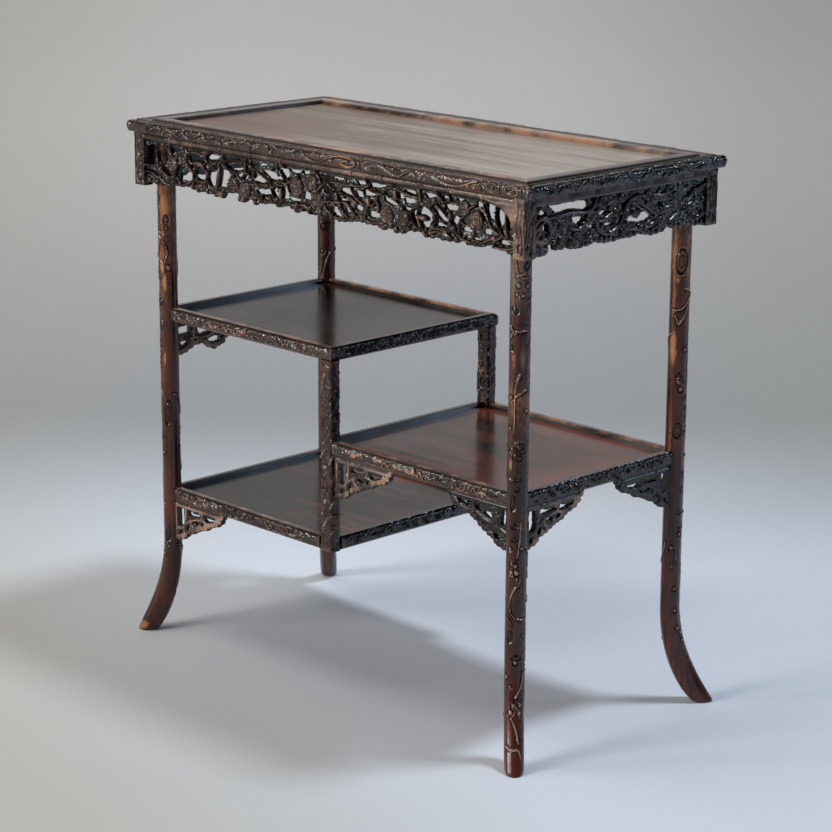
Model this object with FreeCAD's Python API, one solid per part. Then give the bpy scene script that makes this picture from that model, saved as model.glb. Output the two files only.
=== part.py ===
import FreeCAD, Part
import math
import os

os.makedirs("parts", exist_ok=True)

Vec = FreeCAD.Vector
origin = Vec(0, 0, 0)
up = Vec(0, 0, 1)

# A stepped display table: a panelled top on four sabre legs with three staggered shelves.
# +X runs along the length, -Y is the front, +Z is up, and the floor is at zero.

# Overall sizes
top_length = 820.0
top_depth = 398.0
table_height = 800.0

# Clearances
joint_gap = 0.15
overrun = 2.0

# Top frame: moulded edge, sloping ledge, raised lip
top_rail_height = 19.0
top_rail_width = 48.0
edge_tuck = 2.5
edge_round = 4.0
ledge_drop = 1.2
ledge_width = 21.0
quirk_width = 1.4
quirk_depth = 1.6
lip_bead = 9.0
top_recess = 6.0
top_panel_thickness = 8.0

# Shelf frames
shelf_rail_height = 20.0
shelf_rail_width = 17.0
shelf_edge_round = 3.0
shelf_lip = 14.0
shelf_lip_step = 2.5
shelf_recess = 7.5
shelf_panel_thickness = 7.0
lip_chamfer = 0.8

# Tongue of every panel, battens below
tongue_reach = 5.0
tongue_thickness = 3.0
tongue_drop = 2.0
batten_width = 24.0
batten_seat = 6.0

# Heights of the shelf tops
upper_shelf_top = 515.5
middle_shelf_top = 378.5
lower_shelf_top = 233.0

# Apron below the top
apron_height = 79.0
apron_thickness = 17.0
apron_setback_x = 10.0
apron_setback_y = 6.0
cane_width = 8.4
cane_drop = 6.0
knot_width = 11.0
knot_length = 7.0
ground_depth = 2.6
rosette_proud = 1.8
corner_post_width = 21.0
solid_band = 13.0

# Legs: straight trunks that sweep outward at the foot
leg_radius = 14.3
foot_radius = 14.0
leg_inset_x = 35.0
leg_inset_y = 31.4
sweep_height = 150.0
foot_reach = 36.0
toe_swell = 4.0
toe_shares = [0.0, 0.2, 0.4, 0.6, 0.8, 1.0, 0.2]
leg_tenon_side = 9.0
leg_tenon_height = 5.0
leg_tenon_shift = 3.2

# Inner posts between the staggered shelves
post_width = 28.0
post_depth = 20.5
post_right_face = 8.5
rail_outset = 8.5
post_tenon_setback = 6.0

# Tenons of the shelf rails, and pegs
tenon_length = 8.0
tenon_width = 6.0
tenon_height = 10.0
tenon_root = 3.0
peg_radius = 2.2
peg_sides = 8
peg_length = 14.0
peg_back = 5.5

# Brackets
bracket_length = 120.0
bracket_drop = 64.0
bracket_thickness = 10.0

# Places that follow from the sizes above
half_length = top_length / 2
half_depth = top_depth / 2
top_underside = table_height - top_rail_height
apron_x = half_length - apron_setback_x
apron_y = half_depth - apron_setback_y
leg_x = apron_x - leg_inset_x
leg_y = apron_y - leg_inset_y
shelf_x = leg_x + rail_outset
shelf_y = leg_y + rail_outset
post_left_face = post_right_face - post_width
post_inner_y = shelf_y - post_depth
post_top = upper_shelf_top - shelf_rail_height
post_foot = lower_shelf_top - shelf_rail_height

# Carving tables. Along an apron, 0 is the middle and 1 the corner. Downward, 0 is the top and 1 the
# lower edge. An opening is a place, a length and a width in shares of the height, and a tilt in
# degrees. What is left between the openings of a long apron are the stems of a prunus.
long_opening_shares = [
    (-0.905, 0.38, 0.42, 0.21, 69), (-0.843, 0.34, 0.36, 0.20, 88), (-0.912, 0.74, 0.34, 0.12, -6),
    (-0.803, 0.66, 0.36, 0.12, -20), (-0.746, 0.60, 0.30, 0.14, 60), (-0.698, 0.68, 0.24, 0.17, 60),
    (-0.784, 0.24, 0.24, 0.11, 0), (-0.645, 0.31, 0.32, 0.18, -20), (-0.555, 0.24, 0.32, 0.12, 0),
    (-0.625, 0.58, 0.27, 0.16, 100), (-0.557, 0.62, 0.36, 0.15, 82), (-0.492, 0.58, 0.38, 0.15, 76),
    (-0.425, 0.33, 0.34, 0.13, 15), (-0.388, 0.49, 0.26, 0.12, 15), (-0.298, 0.48, 0.26, 0.13, 20),
    (-0.238, 0.36, 0.32, 0.14, -20), (-0.300, 0.22, 0.36, 0.08, 0), (-0.270, 0.69, 0.32, 0.12, 20),
    (-0.165, 0.31, 0.24, 0.18, 90), (-0.157, 0.66, 0.22, 0.12, 85), (-0.042, 0.62, 0.18, 0.11, 90),
    (0.055, 0.23, 0.32, 0.10, 0), (0.068, 0.45, 0.18, 0.12, 60), (0.103, 0.79, 0.26, 0.08, -50),
    (0.165, 0.43, 0.30, 0.14, -20), (0.275, 0.36, 0.26, 0.13, 20), (0.221, 0.42, 0.17, 0.11, 90),
    (0.294, 0.72, 0.22, 0.11, 0), (0.312, 0.22, 0.32, 0.08, 0), (0.380, 0.44, 0.30, 0.11, -20),
    (0.468, 0.37, 0.24, 0.10, 0), (0.490, 0.62, 0.30, 0.10, 90), (0.543, 0.61, 0.38, 0.19, 90),
    (0.568, 0.23, 0.24, 0.10, 0), (0.622, 0.53, 0.27, 0.12, -50), (0.665, 0.36, 0.27, 0.12, 10),
    (0.680, 0.57, 0.20, 0.11, 80), (0.848, 0.31, 0.30, 0.12, 88), (0.887, 0.35, 0.37, 0.14, 90),
    (0.928, 0.39, 0.42, 0.11, 84), (0.903, 0.76, 0.27, 0.12, -15),
]
long_edge_shares = [
    (-0.93, 0.90), (-0.87, 0.95), (-0.80, 0.90), (-0.74, 0.89), (-0.69, 0.86), (-0.655, 0.92), (-0.60, 0.91),
    (-0.58, 0.94), (-0.545, 0.89), (-0.54, 0.94), (-0.51, 0.93), (-0.49, 0.85), (-0.42, 0.81), (-0.41, 0.95),
    (-0.375, 0.92), (-0.355, 0.87), (-0.33, 0.92), (-0.26, 0.90), (-0.22, 0.85), (-0.205, 0.93), (-0.15, 0.86),
    (-0.105, 0.95), (-0.07, 0.90), (-0.05, 0.80), (-0.037, 0.95), (0.01, 0.92), (0.06, 0.90), (0.11, 0.96),
    (0.15, 0.93), (0.22, 0.89), (0.27, 0.91), (0.31, 0.89), (0.325, 0.96), (0.38, 0.89), (0.395, 0.96),
    (0.43, 0.95), (0.455, 0.88), (0.515, 0.87), (0.53, 0.95), (0.57, 0.91), (0.595, 0.89), (0.61, 0.94),
    (0.66, 0.91), (0.675, 0.93), (0.71, 0.88), (0.745, 0.93), (0.79, 0.93), (0.825, 0.86), (0.865, 0.78),
    (0.865, 0.88), (0.91, 0.92), (0.93, 0.98),
]
long_blossom_shares = [
    (-0.785, 0.49, 0.14), (-0.725, 0.33, 0.14), (-0.44, 0.67, 0.14), (-0.375, 0.72, 0.15),
    (-0.10, 0.49, 0.17), (-0.02, 0.38, 0.15), (0.01, 0.68, 0.15), (0.355, 0.68, 0.17),
    (0.43, 0.68, 0.14), (0.72, 0.32, 0.13), (0.775, 0.50, 0.15),
]
long_knot_shares = [-0.80, -0.66, -0.51, -0.19, 0.17, 0.52, 0.66, 0.80]

# The short aprons are a denser board below a plain band, with a scroll near one corner.
short_edge_shares = [
    (-0.90, 0.98), (-0.84, 0.99), (-0.77, 0.97), (-0.79, 0.88), (-0.71, 0.78), (-0.68, 0.92),
    (-0.61, 0.92), (-0.60, 0.84), (-0.55, 0.84), (-0.53, 0.95), (-0.43, 0.98), (-0.40, 0.93),
    (-0.34, 0.98), (-0.32, 0.90), (-0.22, 0.95), (-0.08, 0.97), (0.00, 0.94), (0.08, 0.95),
    (0.15, 0.94), (0.19, 0.88), (0.22, 0.94), (0.30, 0.97), (0.42, 0.97), (0.45, 0.88),
    (0.52, 0.89), (0.56, 0.95), (0.62, 0.94), (0.65, 0.89), (0.72, 0.96), (0.90, 0.97),
]
short_opening_shares = [
    (-0.835, 0.29, 0.26, 0.12, -45), (-0.560, 0.25, 0.90, 0.13, 0), (-0.475, 0.50, 0.22, 0.14, -30),
    (-0.220, 0.46, 0.20, 0.08, 0), (-0.330, 0.64, 0.20, 0.08, 20), (-0.155, 0.66, 0.18, 0.07, 0),
    (0.085, 0.47, 0.22, 0.09, 0), (0.150, 0.64, 0.68, 0.12, 5), (0.345, 0.48, 0.18, 0.09, 0),
    (-0.765, 0.51, 0.18, 0.11, 0), (-0.840, 0.65, 0.22, 0.10, -40), (0.675, 0.72, 0.37, 0.10, 0),
]
short_blossom_shares = [
    (-0.60, 0.55, 0.15), (-0.62, 0.80, 0.10), (-0.47, 0.80, 0.15), (-0.21, 0.28, 0.12),
    (0.02, 0.82, 0.12), (0.42, 0.80, 0.14), (0.56, 0.45, 0.15), (-0.08, 0.50, 0.11), (0.26, 0.30, 0.11),
]

# Bracket tables: along 0 is the upright and 1 the tip, downward 0 is the rail and 1 the full drop.
bracket_edge_shares = [
    (0.0, 0.97), (0.15, 0.94), (0.26, 0.83), (0.30, 0.75), (0.42, 0.68), (0.50, 0.58), (0.62, 0.53),
    (0.72, 0.42), (0.84, 0.34), (0.93, 0.22), (1.0, 0.0),
]
bracket_opening_shares = [
    (0.155, 0.37, 0.44, 0.18, 90), (0.415, 0.23, 0.44, 0.11, 5), (0.720, 0.23, 0.40, 0.10, 5),
    (0.440, 0.41, 0.26, 0.10, -30), (0.285, 0.62, 0.18, 0.10, 50), (0.145, 0.79, 0.18, 0.10, 60),
]
carved_edge_shares = [
    (0.0, 0.98), (0.14, 0.97), (0.24, 0.90), (0.24, 0.82), (0.34, 0.76), (0.44, 0.66), (0.52, 0.56),
    (0.56, 0.50), (0.64, 0.42), (0.76, 0.36), (0.84, 0.28), (0.90, 0.30), (0.97, 0.14), (1.0, 0.0),
]
carved_opening_shares = [
    (0.125, 0.28, 0.36, 0.13, 90), (0.370, 0.31, 0.26, 0.12, 15), (0.730, 0.18, 0.42, 0.09, 0),
    (0.230, 0.71, 0.22, 0.10, 15), (0.510, 0.20, 0.20, 0.12, 0),
]
cloud_edge_shares = [
    (0.0, 0.90), (0.14, 0.90), (0.24, 0.82), (0.30, 0.74), (0.50, 0.72), (0.56, 0.84), (0.66, 0.90),
    (0.80, 0.84), (0.92, 0.50), (1.0, 0.0),
]
cloud_opening_shares = [
    (0.155, 0.64, 0.24, 0.10, -15), (0.660, 0.69, 0.34, 0.15, 0), (0.160, 0.31, 0.30, 0.17, 0),
    (0.520, 0.34, 0.50, 0.18, 10),
]
mid_share = 0.5
petal_count = 5
petal_valley_share = 0.78


def box(x0, x1, y0, y1, z0, z1):
    return Part.makeBox(x1 - x0, y1 - y0, z1 - z0, Vec(x0, y0, z0))


def grown_box(bounds, gap):
    x0, x1, y0, y1, z0, z1 = bounds
    return box(x0 - gap, x1 + gap, y0 - gap, y1 + gap, z0 - gap, z1 + gap)


def line(start, end):
    return Part.LineSegment(start, end).toShape()


def bend(start, via, end):
    # an arc through three points, or a straight edge where they lie in line
    span = end - start
    if span.cross(via - start).Length < span.Length * joint_gap:
        return line(start, end)
    return Part.Arc(start, via, end).toShape()


def face_of(edges):
    return Part.Face(Part.Wire(edges))


def profile_face(start, steps):
    # each step is (u, z), or (via_u, via_z, u, z) for an arc, and the last one returns to the start;
    # u runs inward from the outer face
    edges = []
    here = Vec(0, start[0], start[1])
    for step in steps:
        there = Vec(0, step[-2], step[-1])
        if len(step) > 2:
            edges.append(bend(here, Vec(0, step[0], step[1]), there))
        else:
            edges.append(line(here, there))
        here = there
    return face_of(edges)


def groove_steps(width, recess):
    # the groove that takes the panel's tongue, walked upward along the inner face
    groove_top = -recess - tongue_drop + joint_gap
    groove_foot = -recess - tongue_drop - tongue_thickness - joint_gap
    groove_back = width - tongue_reach - joint_gap
    return [(width, groove_foot), (groove_back, groove_foot), (groove_back, groove_top), (width, groove_top)]


def top_rail_face():
    height = top_rail_height
    quirk_start = ledge_width - quirk_width
    bead_end = ledge_width + lip_bead
    steps = [(top_rail_width, -height)]
    steps += groove_steps(top_rail_width, top_recess)
    steps += [
        (top_rail_width, -quirk_width),
        (top_rail_width - lip_chamfer, 0),
        (bead_end + quirk_width, 0),
        (bead_end + quirk_width * mid_share, -quirk_depth * mid_share),
        (bead_end, 0),
        (ledge_width + lip_chamfer, 0),
        (ledge_width, -quirk_width),
        (ledge_width - quirk_width * mid_share, -ledge_drop - quirk_depth),
        (quirk_start, -ledge_drop + lip_chamfer),
        (edge_round, -ledge_drop),
        (lip_chamfer, -ledge_drop - lip_chamfer, 0, -ledge_drop - edge_round),
        (0, -height * mid_share, edge_tuck, -height),
    ]
    return profile_face((edge_tuck, -height), steps)


def shelf_rail_face():
    height = shelf_rail_height
    tuck = shelf_edge_round * mid_share
    steps = [(shelf_rail_width, -height)]
    steps += groove_steps(shelf_rail_width, shelf_recess)
    steps += [
        (shelf_rail_width, -shelf_lip_step),
        (shelf_lip, -shelf_lip_step),
        (shelf_lip, -lip_chamfer),
        (shelf_lip - lip_chamfer, 0),
        (shelf_edge_round, 0),
        (lip_chamfer, -lip_chamfer, 0, -shelf_edge_round),
        (0, -height + shelf_edge_round),
        (tuck, -height),
    ]
    return profile_face((tuck, -height), steps)


def mitred(shape, length, width, drop):
    # keep what lies between two 45 degree planes that start at the outer corners
    half = length / 2
    corners = [Vec(-half, 0, 0), Vec(half, 0, 0), Vec(half - width, width, 0), Vec(width - half, width, 0)]
    plan = Part.Face(Part.makePolygon(corners + corners[:1]))
    plan.translate(Vec(0, 0, -drop - overrun))
    return shape.common(plan.extrude(Vec(0, 0, drop + 2 * overrun)))


def mitred_rail(face, length, width, height):
    bar = face.extrude(Vec(length, 0, 0))
    bar.translate(Vec(-length / 2, 0, 0))
    return mitred(bar, length, width, height)


def seated(shape, turn, x, y, z):
    placed = shape.copy()
    placed.rotate(origin, up, turn)
    placed.translate(Vec(x, y, z))
    return placed


def around(x0, x1, y0, y1, z, make):
    # one piece per side of a rectangle; make(length, side) draws it with its outer face to the front
    middle_x = (x0 + x1) / 2
    middle_y = (y0 + y1) / 2
    return {
        "front": seated(make(x1 - x0, "front"), 0, middle_x, y0, z),
        "back": seated(make(x1 - x0, "back"), 180, middle_x, y1, z),
        "left": seated(make(y1 - y0, "left"), -90, x0, middle_y, z),
        "right": seated(make(y1 - y0, "right"), 90, x1, middle_y, z),
    }


def floating_panel(x0, x1, y0, y1, z, recess, thickness):
    top = z - recess
    board = box(x0 + joint_gap, x1 - joint_gap, y0 + joint_gap, y1 - joint_gap, top - thickness, top)
    tongue_top = top - tongue_drop
    reach = tongue_reach - joint_gap
    tongue = box(x0 - reach, x1 + reach, y0 - reach, y1 + reach, tongue_top - tongue_thickness, tongue_top)
    return board.fuse(tongue).removeSplitter()


def batten(x, y0, y1, z_foot, z_top):
    half = batten_width / 2
    return [x - half, x + half, y0 - batten_seat, y1 + batten_seat, z_foot, z_top]


def framed(name, x0, x1, y0, y1, z, face, width, height, recess, thickness, batten_places):
    # four mitred rails, a floating panel and battens let into the long rails from below
    inner = (x0 + width, x1 - width, y0 + width, y1 - width)
    rails = around(x0, x1, y0, y1, z, lambda length, side: mitred_rail(face, length, width, height))
    nodes = {name + "_rail_" + side: rail for side, rail in rails.items()}
    nodes[name + "_panel"] = floating_panel(*inner, z, recess, thickness)
    for label, x in batten_places.items():
        bounds = batten(x, inner[2], inner[3], z - height, z - recess - thickness)
        nodes[name + label] = box(*bounds)
        seat = grown_box(bounds, joint_gap)
        for side in ("front", "back"):
            key = name + "_rail_" + side
            nodes[key] = nodes[key].cut(seat)
    return nodes


def point(along, down, half, height):
    return Vec(along * half, 0, -down * height)


def step_from(place, angle, distance):
    return place + Vec(math.cos(angle) * distance, 0, math.sin(angle) * distance)


def rosette(centre, radius):
    # five petals with a valley between each two
    places = []
    step = math.pi / petal_count
    for petal in range(petal_count):
        angle = 2 * petal * step
        places.append(step_from(centre, angle, radius * petal_valley_share))
        places.append(step_from(centre, angle + step, radius))
    return outline(places)


def opening(centre, length, width, tilt):
    # a slot that narrows to a point at both ends
    along = Vec(math.cos(tilt), 0, math.sin(tilt)) * (length / 2)
    across = Vec(-math.sin(tilt), 0, math.cos(tilt)) * (width / 2)
    shoulder = along * mid_share
    return outline([centre - along, centre - shoulder - across, centre + shoulder - across,
                    centre + along, centre + shoulder + across, centre - shoulder + across])


def outline(places):
    return Part.Face(Part.makePolygon(places + places[:1]))


def pierced(board, opening_shares, half, height):
    # cut every opening of a carving table out of a flat board
    holes = [
        opening(point(along, down, half, height), length * height, width * height, math.radians(tilt))
        for along, down, length, width, tilt in opening_shares
    ]
    return board.cut(holes)


def thickened(shape, front, back):
    moved = shape.copy()
    moved.translate(Vec(0, front, 0))
    return moved.extrude(Vec(0, back - front, 0))


def flat_bar(x0, x1, z0, z1):
    return outline([Vec(x0, 0, z0), Vec(x1, 0, z0), Vec(x1, 0, z1), Vec(x0, 0, z1)])


def apron_board(edge_shares, opening_shares, half):
    # a board with a carved lower edge between two square corners, then its openings
    post = half - corner_post_width
    places = [Vec(-half, 0, 0), Vec(-half, 0, -apron_height), Vec(-post, 0, -apron_height)]
    places += [point(*share, half, apron_height) for share in edge_shares]
    places += [Vec(post, 0, -apron_height), Vec(half, 0, -apron_height), Vec(half, 0, 0)]
    return pierced(outline(places), opening_shares, half, apron_height)


def raised_blossoms(blossom_shares, half):
    blossoms = []
    for along, down, size in blossom_shares:
        flower = rosette(point(along, down, half, apron_height), size * apron_height)
        blossoms.append(thickened(flower, ground_depth - rosette_proud, ground_depth))
    return blossoms


def corner_blocks(half):
    post = half - corner_post_width
    return [
        thickened(flat_bar(start, start + corner_post_width, -apron_height, 0), 0, apron_thickness)
        for start in (-half, post)
    ]


def cane_with_knots(half):
    # the knotted cane that runs along the head of a long apron
    post = half - corner_post_width
    bars = [flat_bar(-post, post, -cane_drop - cane_width / 2, -cane_drop + cane_width / 2)]
    for share in long_knot_shares:
        start = share * half - knot_length / 2
        bars.append(flat_bar(start, start + knot_length, -cane_drop - knot_width / 2, -cane_drop + knot_width / 2))
    cane = bars[0].multiFuse(bars[1:]).removeSplitter()
    return thickened(cane, 0, ground_depth)


def long_apron(length):
    half = length / 2
    plate = thickened(apron_board(long_edge_shares, long_opening_shares, half), ground_depth, apron_thickness)
    raised = raised_blossoms(long_blossom_shares, half) + [cane_with_knots(half)]
    body = plate.multiFuse(raised + corner_blocks(half)).removeSplitter()
    return mitred(body, length, apron_thickness, apron_height)


def short_apron(length):
    half = length / 2
    plate = thickened(apron_board(short_edge_shares, short_opening_shares, half), ground_depth, apron_thickness)
    band = thickened(flat_bar(-half, half, -solid_band, 0), 0, apron_thickness)
    raised = raised_blossoms(short_blossom_shares, half)
    body = plate.multiFuse(raised + corner_blocks(half) + [band]).removeSplitter()
    return mitred(body, length, apron_thickness, apron_height)


def foot_ring(centre, share, swell):
    # one level section of the foot, longer the way it sweeps
    girth = leg_radius + (foot_radius - leg_radius) * share
    curve = Part.Ellipse(origin, girth + swell, girth) if swell else Part.Circle(origin, up, girth)
    edge = curve.toShape()
    edge.rotate(origin, up, 45)
    edge.translate(centre)
    return Part.Wire([edge])


def leg():
    # drawn at the origin, sweeping toward +X and +Y at the foot
    slant = math.sqrt(2) * foot_reach
    radius = (sweep_height ** 2 + slant ** 2) / (2 * slant)
    turn = math.asin(sweep_height / radius)
    outward = Vec(math.cos(math.pi / 4), math.sin(math.pi / 4), 0)
    rings = []
    for index, toe_share in enumerate(toe_shares):
        share = index / (len(toe_shares) - 1)
        angle = turn * share
        centre = outward * (radius * (1 - math.cos(angle)))
        centre += Vec(0, 0, sweep_height - radius * math.sin(angle))
        rings.append(foot_ring(centre, share, toe_swell * toe_share))
    foot = Part.makeLoft(rings, True, True)
    trunk = Part.makeCylinder(leg_radius, top_underside - sweep_height, Vec(0, 0, sweep_height))
    return trunk.fuse([foot, box(*leg_tenon_bounds())]).removeSplitter()


def leg_tenon_bounds():
    # a square tenon, set outward so that it stays under the top frame's rails
    start = leg_tenon_shift - leg_tenon_side / 2
    end = leg_tenon_shift + leg_tenon_side / 2
    return [start, end, start, end, top_underside, top_underside + leg_tenon_height]


def placed_leg(shape, sign_x, sign_y):
    if sign_x < 0:
        shape = shape.mirror(origin, Vec(1, 0, 0))
    if sign_y < 0:
        shape = shape.mirror(origin, Vec(0, 1, 0))
    shape.translate(Vec(sign_x * leg_x, sign_y * leg_y, 0))
    return shape


def leg_bore(sign_x, sign_y):
    radius = leg_radius + joint_gap
    return Part.makeCylinder(radius, table_height, Vec(sign_x * leg_x, sign_y * leg_y, 0))


def leg_tenon_bore(sign_x, sign_y):
    return placed_leg(grown_box(leg_tenon_bounds(), joint_gap), sign_x, sign_y)


def post_bounds(sign_y):
    y0, y1 = sorted((sign_y * shelf_y, sign_y * post_inner_y))
    return [post_left_face, post_right_face, y0, y1, post_foot, post_top]


def post_tenon_bounds(sign_y):
    centre_x = (post_left_face + post_right_face) / 2
    centre_y = sign_y * (shelf_y - post_tenon_setback)
    half = tenon_width / 2
    top = post_top + tenon_length
    return [centre_x - half, centre_x + half, centre_y - half, centre_y + half, post_top, top]


def tenon_bounds(along, sign_along, face, across, z_top):
    # a rail's tenon: along names its axis, face the surface of the upright it enters
    inner = face + sign_along * tenon_length
    outer = face - sign_along * (tenon_root + leg_radius)
    a0, a1 = sorted((inner, outer))
    middle = z_top - shelf_rail_height / 2
    c0, c1 = across - tenon_width / 2, across + tenon_width / 2
    z0, z1 = middle - tenon_height / 2, middle + tenon_height / 2
    return [a0, a1, c0, c1, z0, z1] if along == "x" else [c0, c1, a0, a1, z0, z1]


def shelf_tenons(x0, x1, z_top, left_uprights, right_uprights):
    # every tenon of one shelf: (rail side, upright kind and signs, bounds)
    centre_y = shelf_y - shelf_rail_width / 2
    found = []
    for sign_y in (-1, 1):
        rail = "front" if sign_y < 0 else "back"
        for sign_x, kind in ((-1, left_uprights), (1, right_uprights)):
            if kind == "none":
                continue
            long_face = leg_x - leg_radius if kind == "leg" else abs(post_left_face if sign_x > 0 else post_right_face)
            side_face = leg_y - leg_radius if kind == "leg" else post_inner_y
            start = sign_x * long_face
            centre_x = sign_x * (abs(x1 if sign_x > 0 else x0)) - sign_x * shelf_rail_width / 2
            if kind == "post":
                start = post_left_face if sign_x > 0 else post_right_face
                centre_x = (x1 if sign_x > 0 else x0) - sign_x * shelf_rail_width / 2
            side = "right" if sign_x > 0 else "left"
            upright = (kind, sign_x, sign_y)
            found.append((rail, upright, tenon_bounds("x", sign_x, start, sign_y * centre_y, z_top)))
            found.append((side, upright, tenon_bounds("y", sign_y, sign_y * side_face, centre_x, z_top)))
    return found


def pegs():
    # dowels driven in from the right faces of the posts, above and below
    places = []
    for sign_y in (-1, 1):
        y = sign_y * (post_inner_y + peg_back)
        for z in (post_top + tenon_length / 2, lower_shelf_top - shelf_rail_height / 2):
            places.append(Vec(post_right_face, y, z))
    return places


def peg(place, radius, length):
    # a hand-cut dowel with flat sides, driven toward -X
    step = 2 * math.pi / peg_sides
    corners = [
        place + Vec(0, radius * math.cos(index * step), radius * math.sin(index * step))
        for index in range(peg_sides)
    ]
    return outline(corners).extrude(Vec(-length, 0, 0))


def bracket_plate(edge_shares, opening_shares):
    # drawn with the upright at x = 0 and the rail at z = 0
    board = outline([origin] + [point(*share, bracket_length, bracket_drop) for share in edge_shares])
    board = pierced(board, opening_shares, bracket_length, bracket_drop)
    return thickened(board, -bracket_thickness / 2, bracket_thickness / 2)


def bracket_at(plate, turn, x, y, z_top):
    return seated(plate, turn, x, y, z_top - shelf_rail_height)


def all_brackets():
    plain = bracket_plate(bracket_edge_shares, bracket_opening_shares)
    carved = bracket_plate(carved_edge_shares, carved_opening_shares)
    cloud = bracket_plate(cloud_edge_shares, cloud_opening_shares)
    line_x = shelf_x - shelf_rail_width / 2
    line_y = shelf_y - shelf_rail_width / 2
    middle, lower, upper = middle_shelf_top, lower_shelf_top, upper_shelf_top
    inner_x = leg_x - leg_radius * mid_share
    inner_y = leg_y - leg_radius * mid_share
    return {
        "bracket_front_post": bracket_at(plain, 0, post_right_face, -line_y, middle),
        "bracket_front_right": bracket_at(carved, 180, inner_x, -line_y, middle),
        "bracket_right_front": bracket_at(plain, 90, line_x, -inner_y, middle),
        "bracket_right_back": bracket_at(plain, -90, line_x, inner_y, middle),
        "bracket_back_right": bracket_at(carved, 180, inner_x, line_y, middle),
        "bracket_back_post": bracket_at(plain, 0, post_right_face, line_y, middle),
        "bracket_front_left": bracket_at(plain, 0, -inner_x, -line_y, lower),
        "bracket_back_left": bracket_at(plain, 0, -inner_x, line_y, lower),
        "bracket_left_front": bracket_at(cloud, 90, -line_x, -inner_y, upper),
        "bracket_left_back": bracket_at(cloud, -90, -line_x, inner_y, upper),
    }


def build_nodes():
    corners = {
        "front_left": (-1, -1), "front_right": (1, -1), "back_left": (-1, 1), "back_right": (1, 1),
    }
    nodes = framed("top", -half_length, half_length, -half_depth, half_depth, table_height, top_rail_face(),
                   top_rail_width, top_rail_height, top_recess, top_panel_thickness,
                   {"_batten_left": -half_length / 3, "_batten_right": half_length / 3})
    shelves = {
        "upper_shelf": (-shelf_x, post_right_face, upper_shelf_top, "leg", "none"),
        "middle_shelf": (post_left_face, shelf_x, middle_shelf_top, "post", "leg"),
        "lower_shelf": (-shelf_x, post_right_face, lower_shelf_top, "leg", "post"),
    }
    shelf_face = shelf_rail_face()
    for name, (x0, x1, z, left, right) in shelves.items():
        nodes.update(framed(name, x0, x1, -shelf_y, shelf_y, z, shelf_face, shelf_rail_width,
                            shelf_rail_height, shelf_recess, shelf_panel_thickness,
                            {"_batten": (x0 + x1) / 2}))
    boards = {"front": long_apron(2 * apron_x), "left": short_apron(2 * apron_y)}
    boards["back"] = boards["front"]
    boards["right"] = boards["left"]
    aprons = around(-apron_x, apron_x, -apron_y, apron_y, top_underside, lambda length, side: boards[side])
    nodes.update({"apron_" + side: apron for side, apron in aprons.items()})
    legs = {name: placed_leg(leg(), *signs) for name, signs in corners.items()}
    posts = {-1: box(*post_bounds(-1)), 1: box(*post_bounds(1))}
    brackets = all_brackets()

    # make room for the uprights, then add and house the tenons
    post_rooms = [grown_box(post_bounds(sign), joint_gap) for sign in posts]
    leg_rooms = [leg_bore(*signs) for signs in corners.values()]
    for name in shelves:
        for part in ("_rail_front", "_rail_back", "_rail_left", "_rail_right", "_panel"):
            nodes[name + part] = nodes[name + part].cut(leg_rooms + post_rooms)
    for name, shape in brackets.items():
        nodes[name] = shape.cut(leg_rooms)
    for name, (x0, x1, z, left, right) in shelves.items():
        for rail, (kind, sign_x, sign_y), bounds in shelf_tenons(x0, x1, z, left, right):
            key = name + "_rail_" + rail
            nodes[key] = nodes[key].fuse(box(*bounds)).removeSplitter()
            room = grown_box(bounds, joint_gap)
            if kind == "post":
                posts[sign_y] = posts[sign_y].cut(room)
            else:
                spot = next(corner for corner, signs in corners.items() if signs == (sign_x, sign_y))
                legs[spot] = legs[spot].cut(room)
    for corner, signs in corners.items():
        for rail in ("front", "back", "left", "right"):
            key = "top_rail_" + rail
            if rail in corner:
                nodes[key] = nodes[key].cut(leg_tenon_bore(*signs))
    for sign_y in posts:
        bounds = post_tenon_bounds(sign_y)
        posts[sign_y] = posts[sign_y].fuse(box(*bounds)).removeSplitter()
        for rail in ("front" if sign_y < 0 else "back", "right"):
            key = "upper_shelf_rail_" + rail
            nodes[key] = nodes[key].cut(grown_box(bounds, joint_gap))
    peg_rooms = [peg(place, peg_radius + joint_gap, peg_length + joint_gap) for place in pegs()]
    for key in ("upper_shelf_rail_front", "upper_shelf_rail_back", "upper_shelf_rail_right",
                "lower_shelf_rail_right"):
        nodes[key] = nodes[key].cut(peg_rooms)
    for sign_y in posts:
        posts[sign_y] = posts[sign_y].cut(peg_rooms)
    nodes["joint_pegs"] = Part.Compound([peg(place, peg_radius, peg_length) for place in pegs()])
    nodes.update({"leg_" + corner: shape for corner, shape in legs.items()})
    nodes["inner_post_front"] = posts[-1]
    nodes["inner_post_back"] = posts[1]
    return nodes


for node, shape in build_nodes().items():
    solids = len(shape.Solids)
    print(node, "solids", solids, "valid", shape.isValid(), "volume", round(shape.Volume))
    shape.exportStep("parts/" + node + ".step")
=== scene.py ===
import itertools
import math

import bpy
import numpy as np
from mathutils import Matrix, Vector


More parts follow.
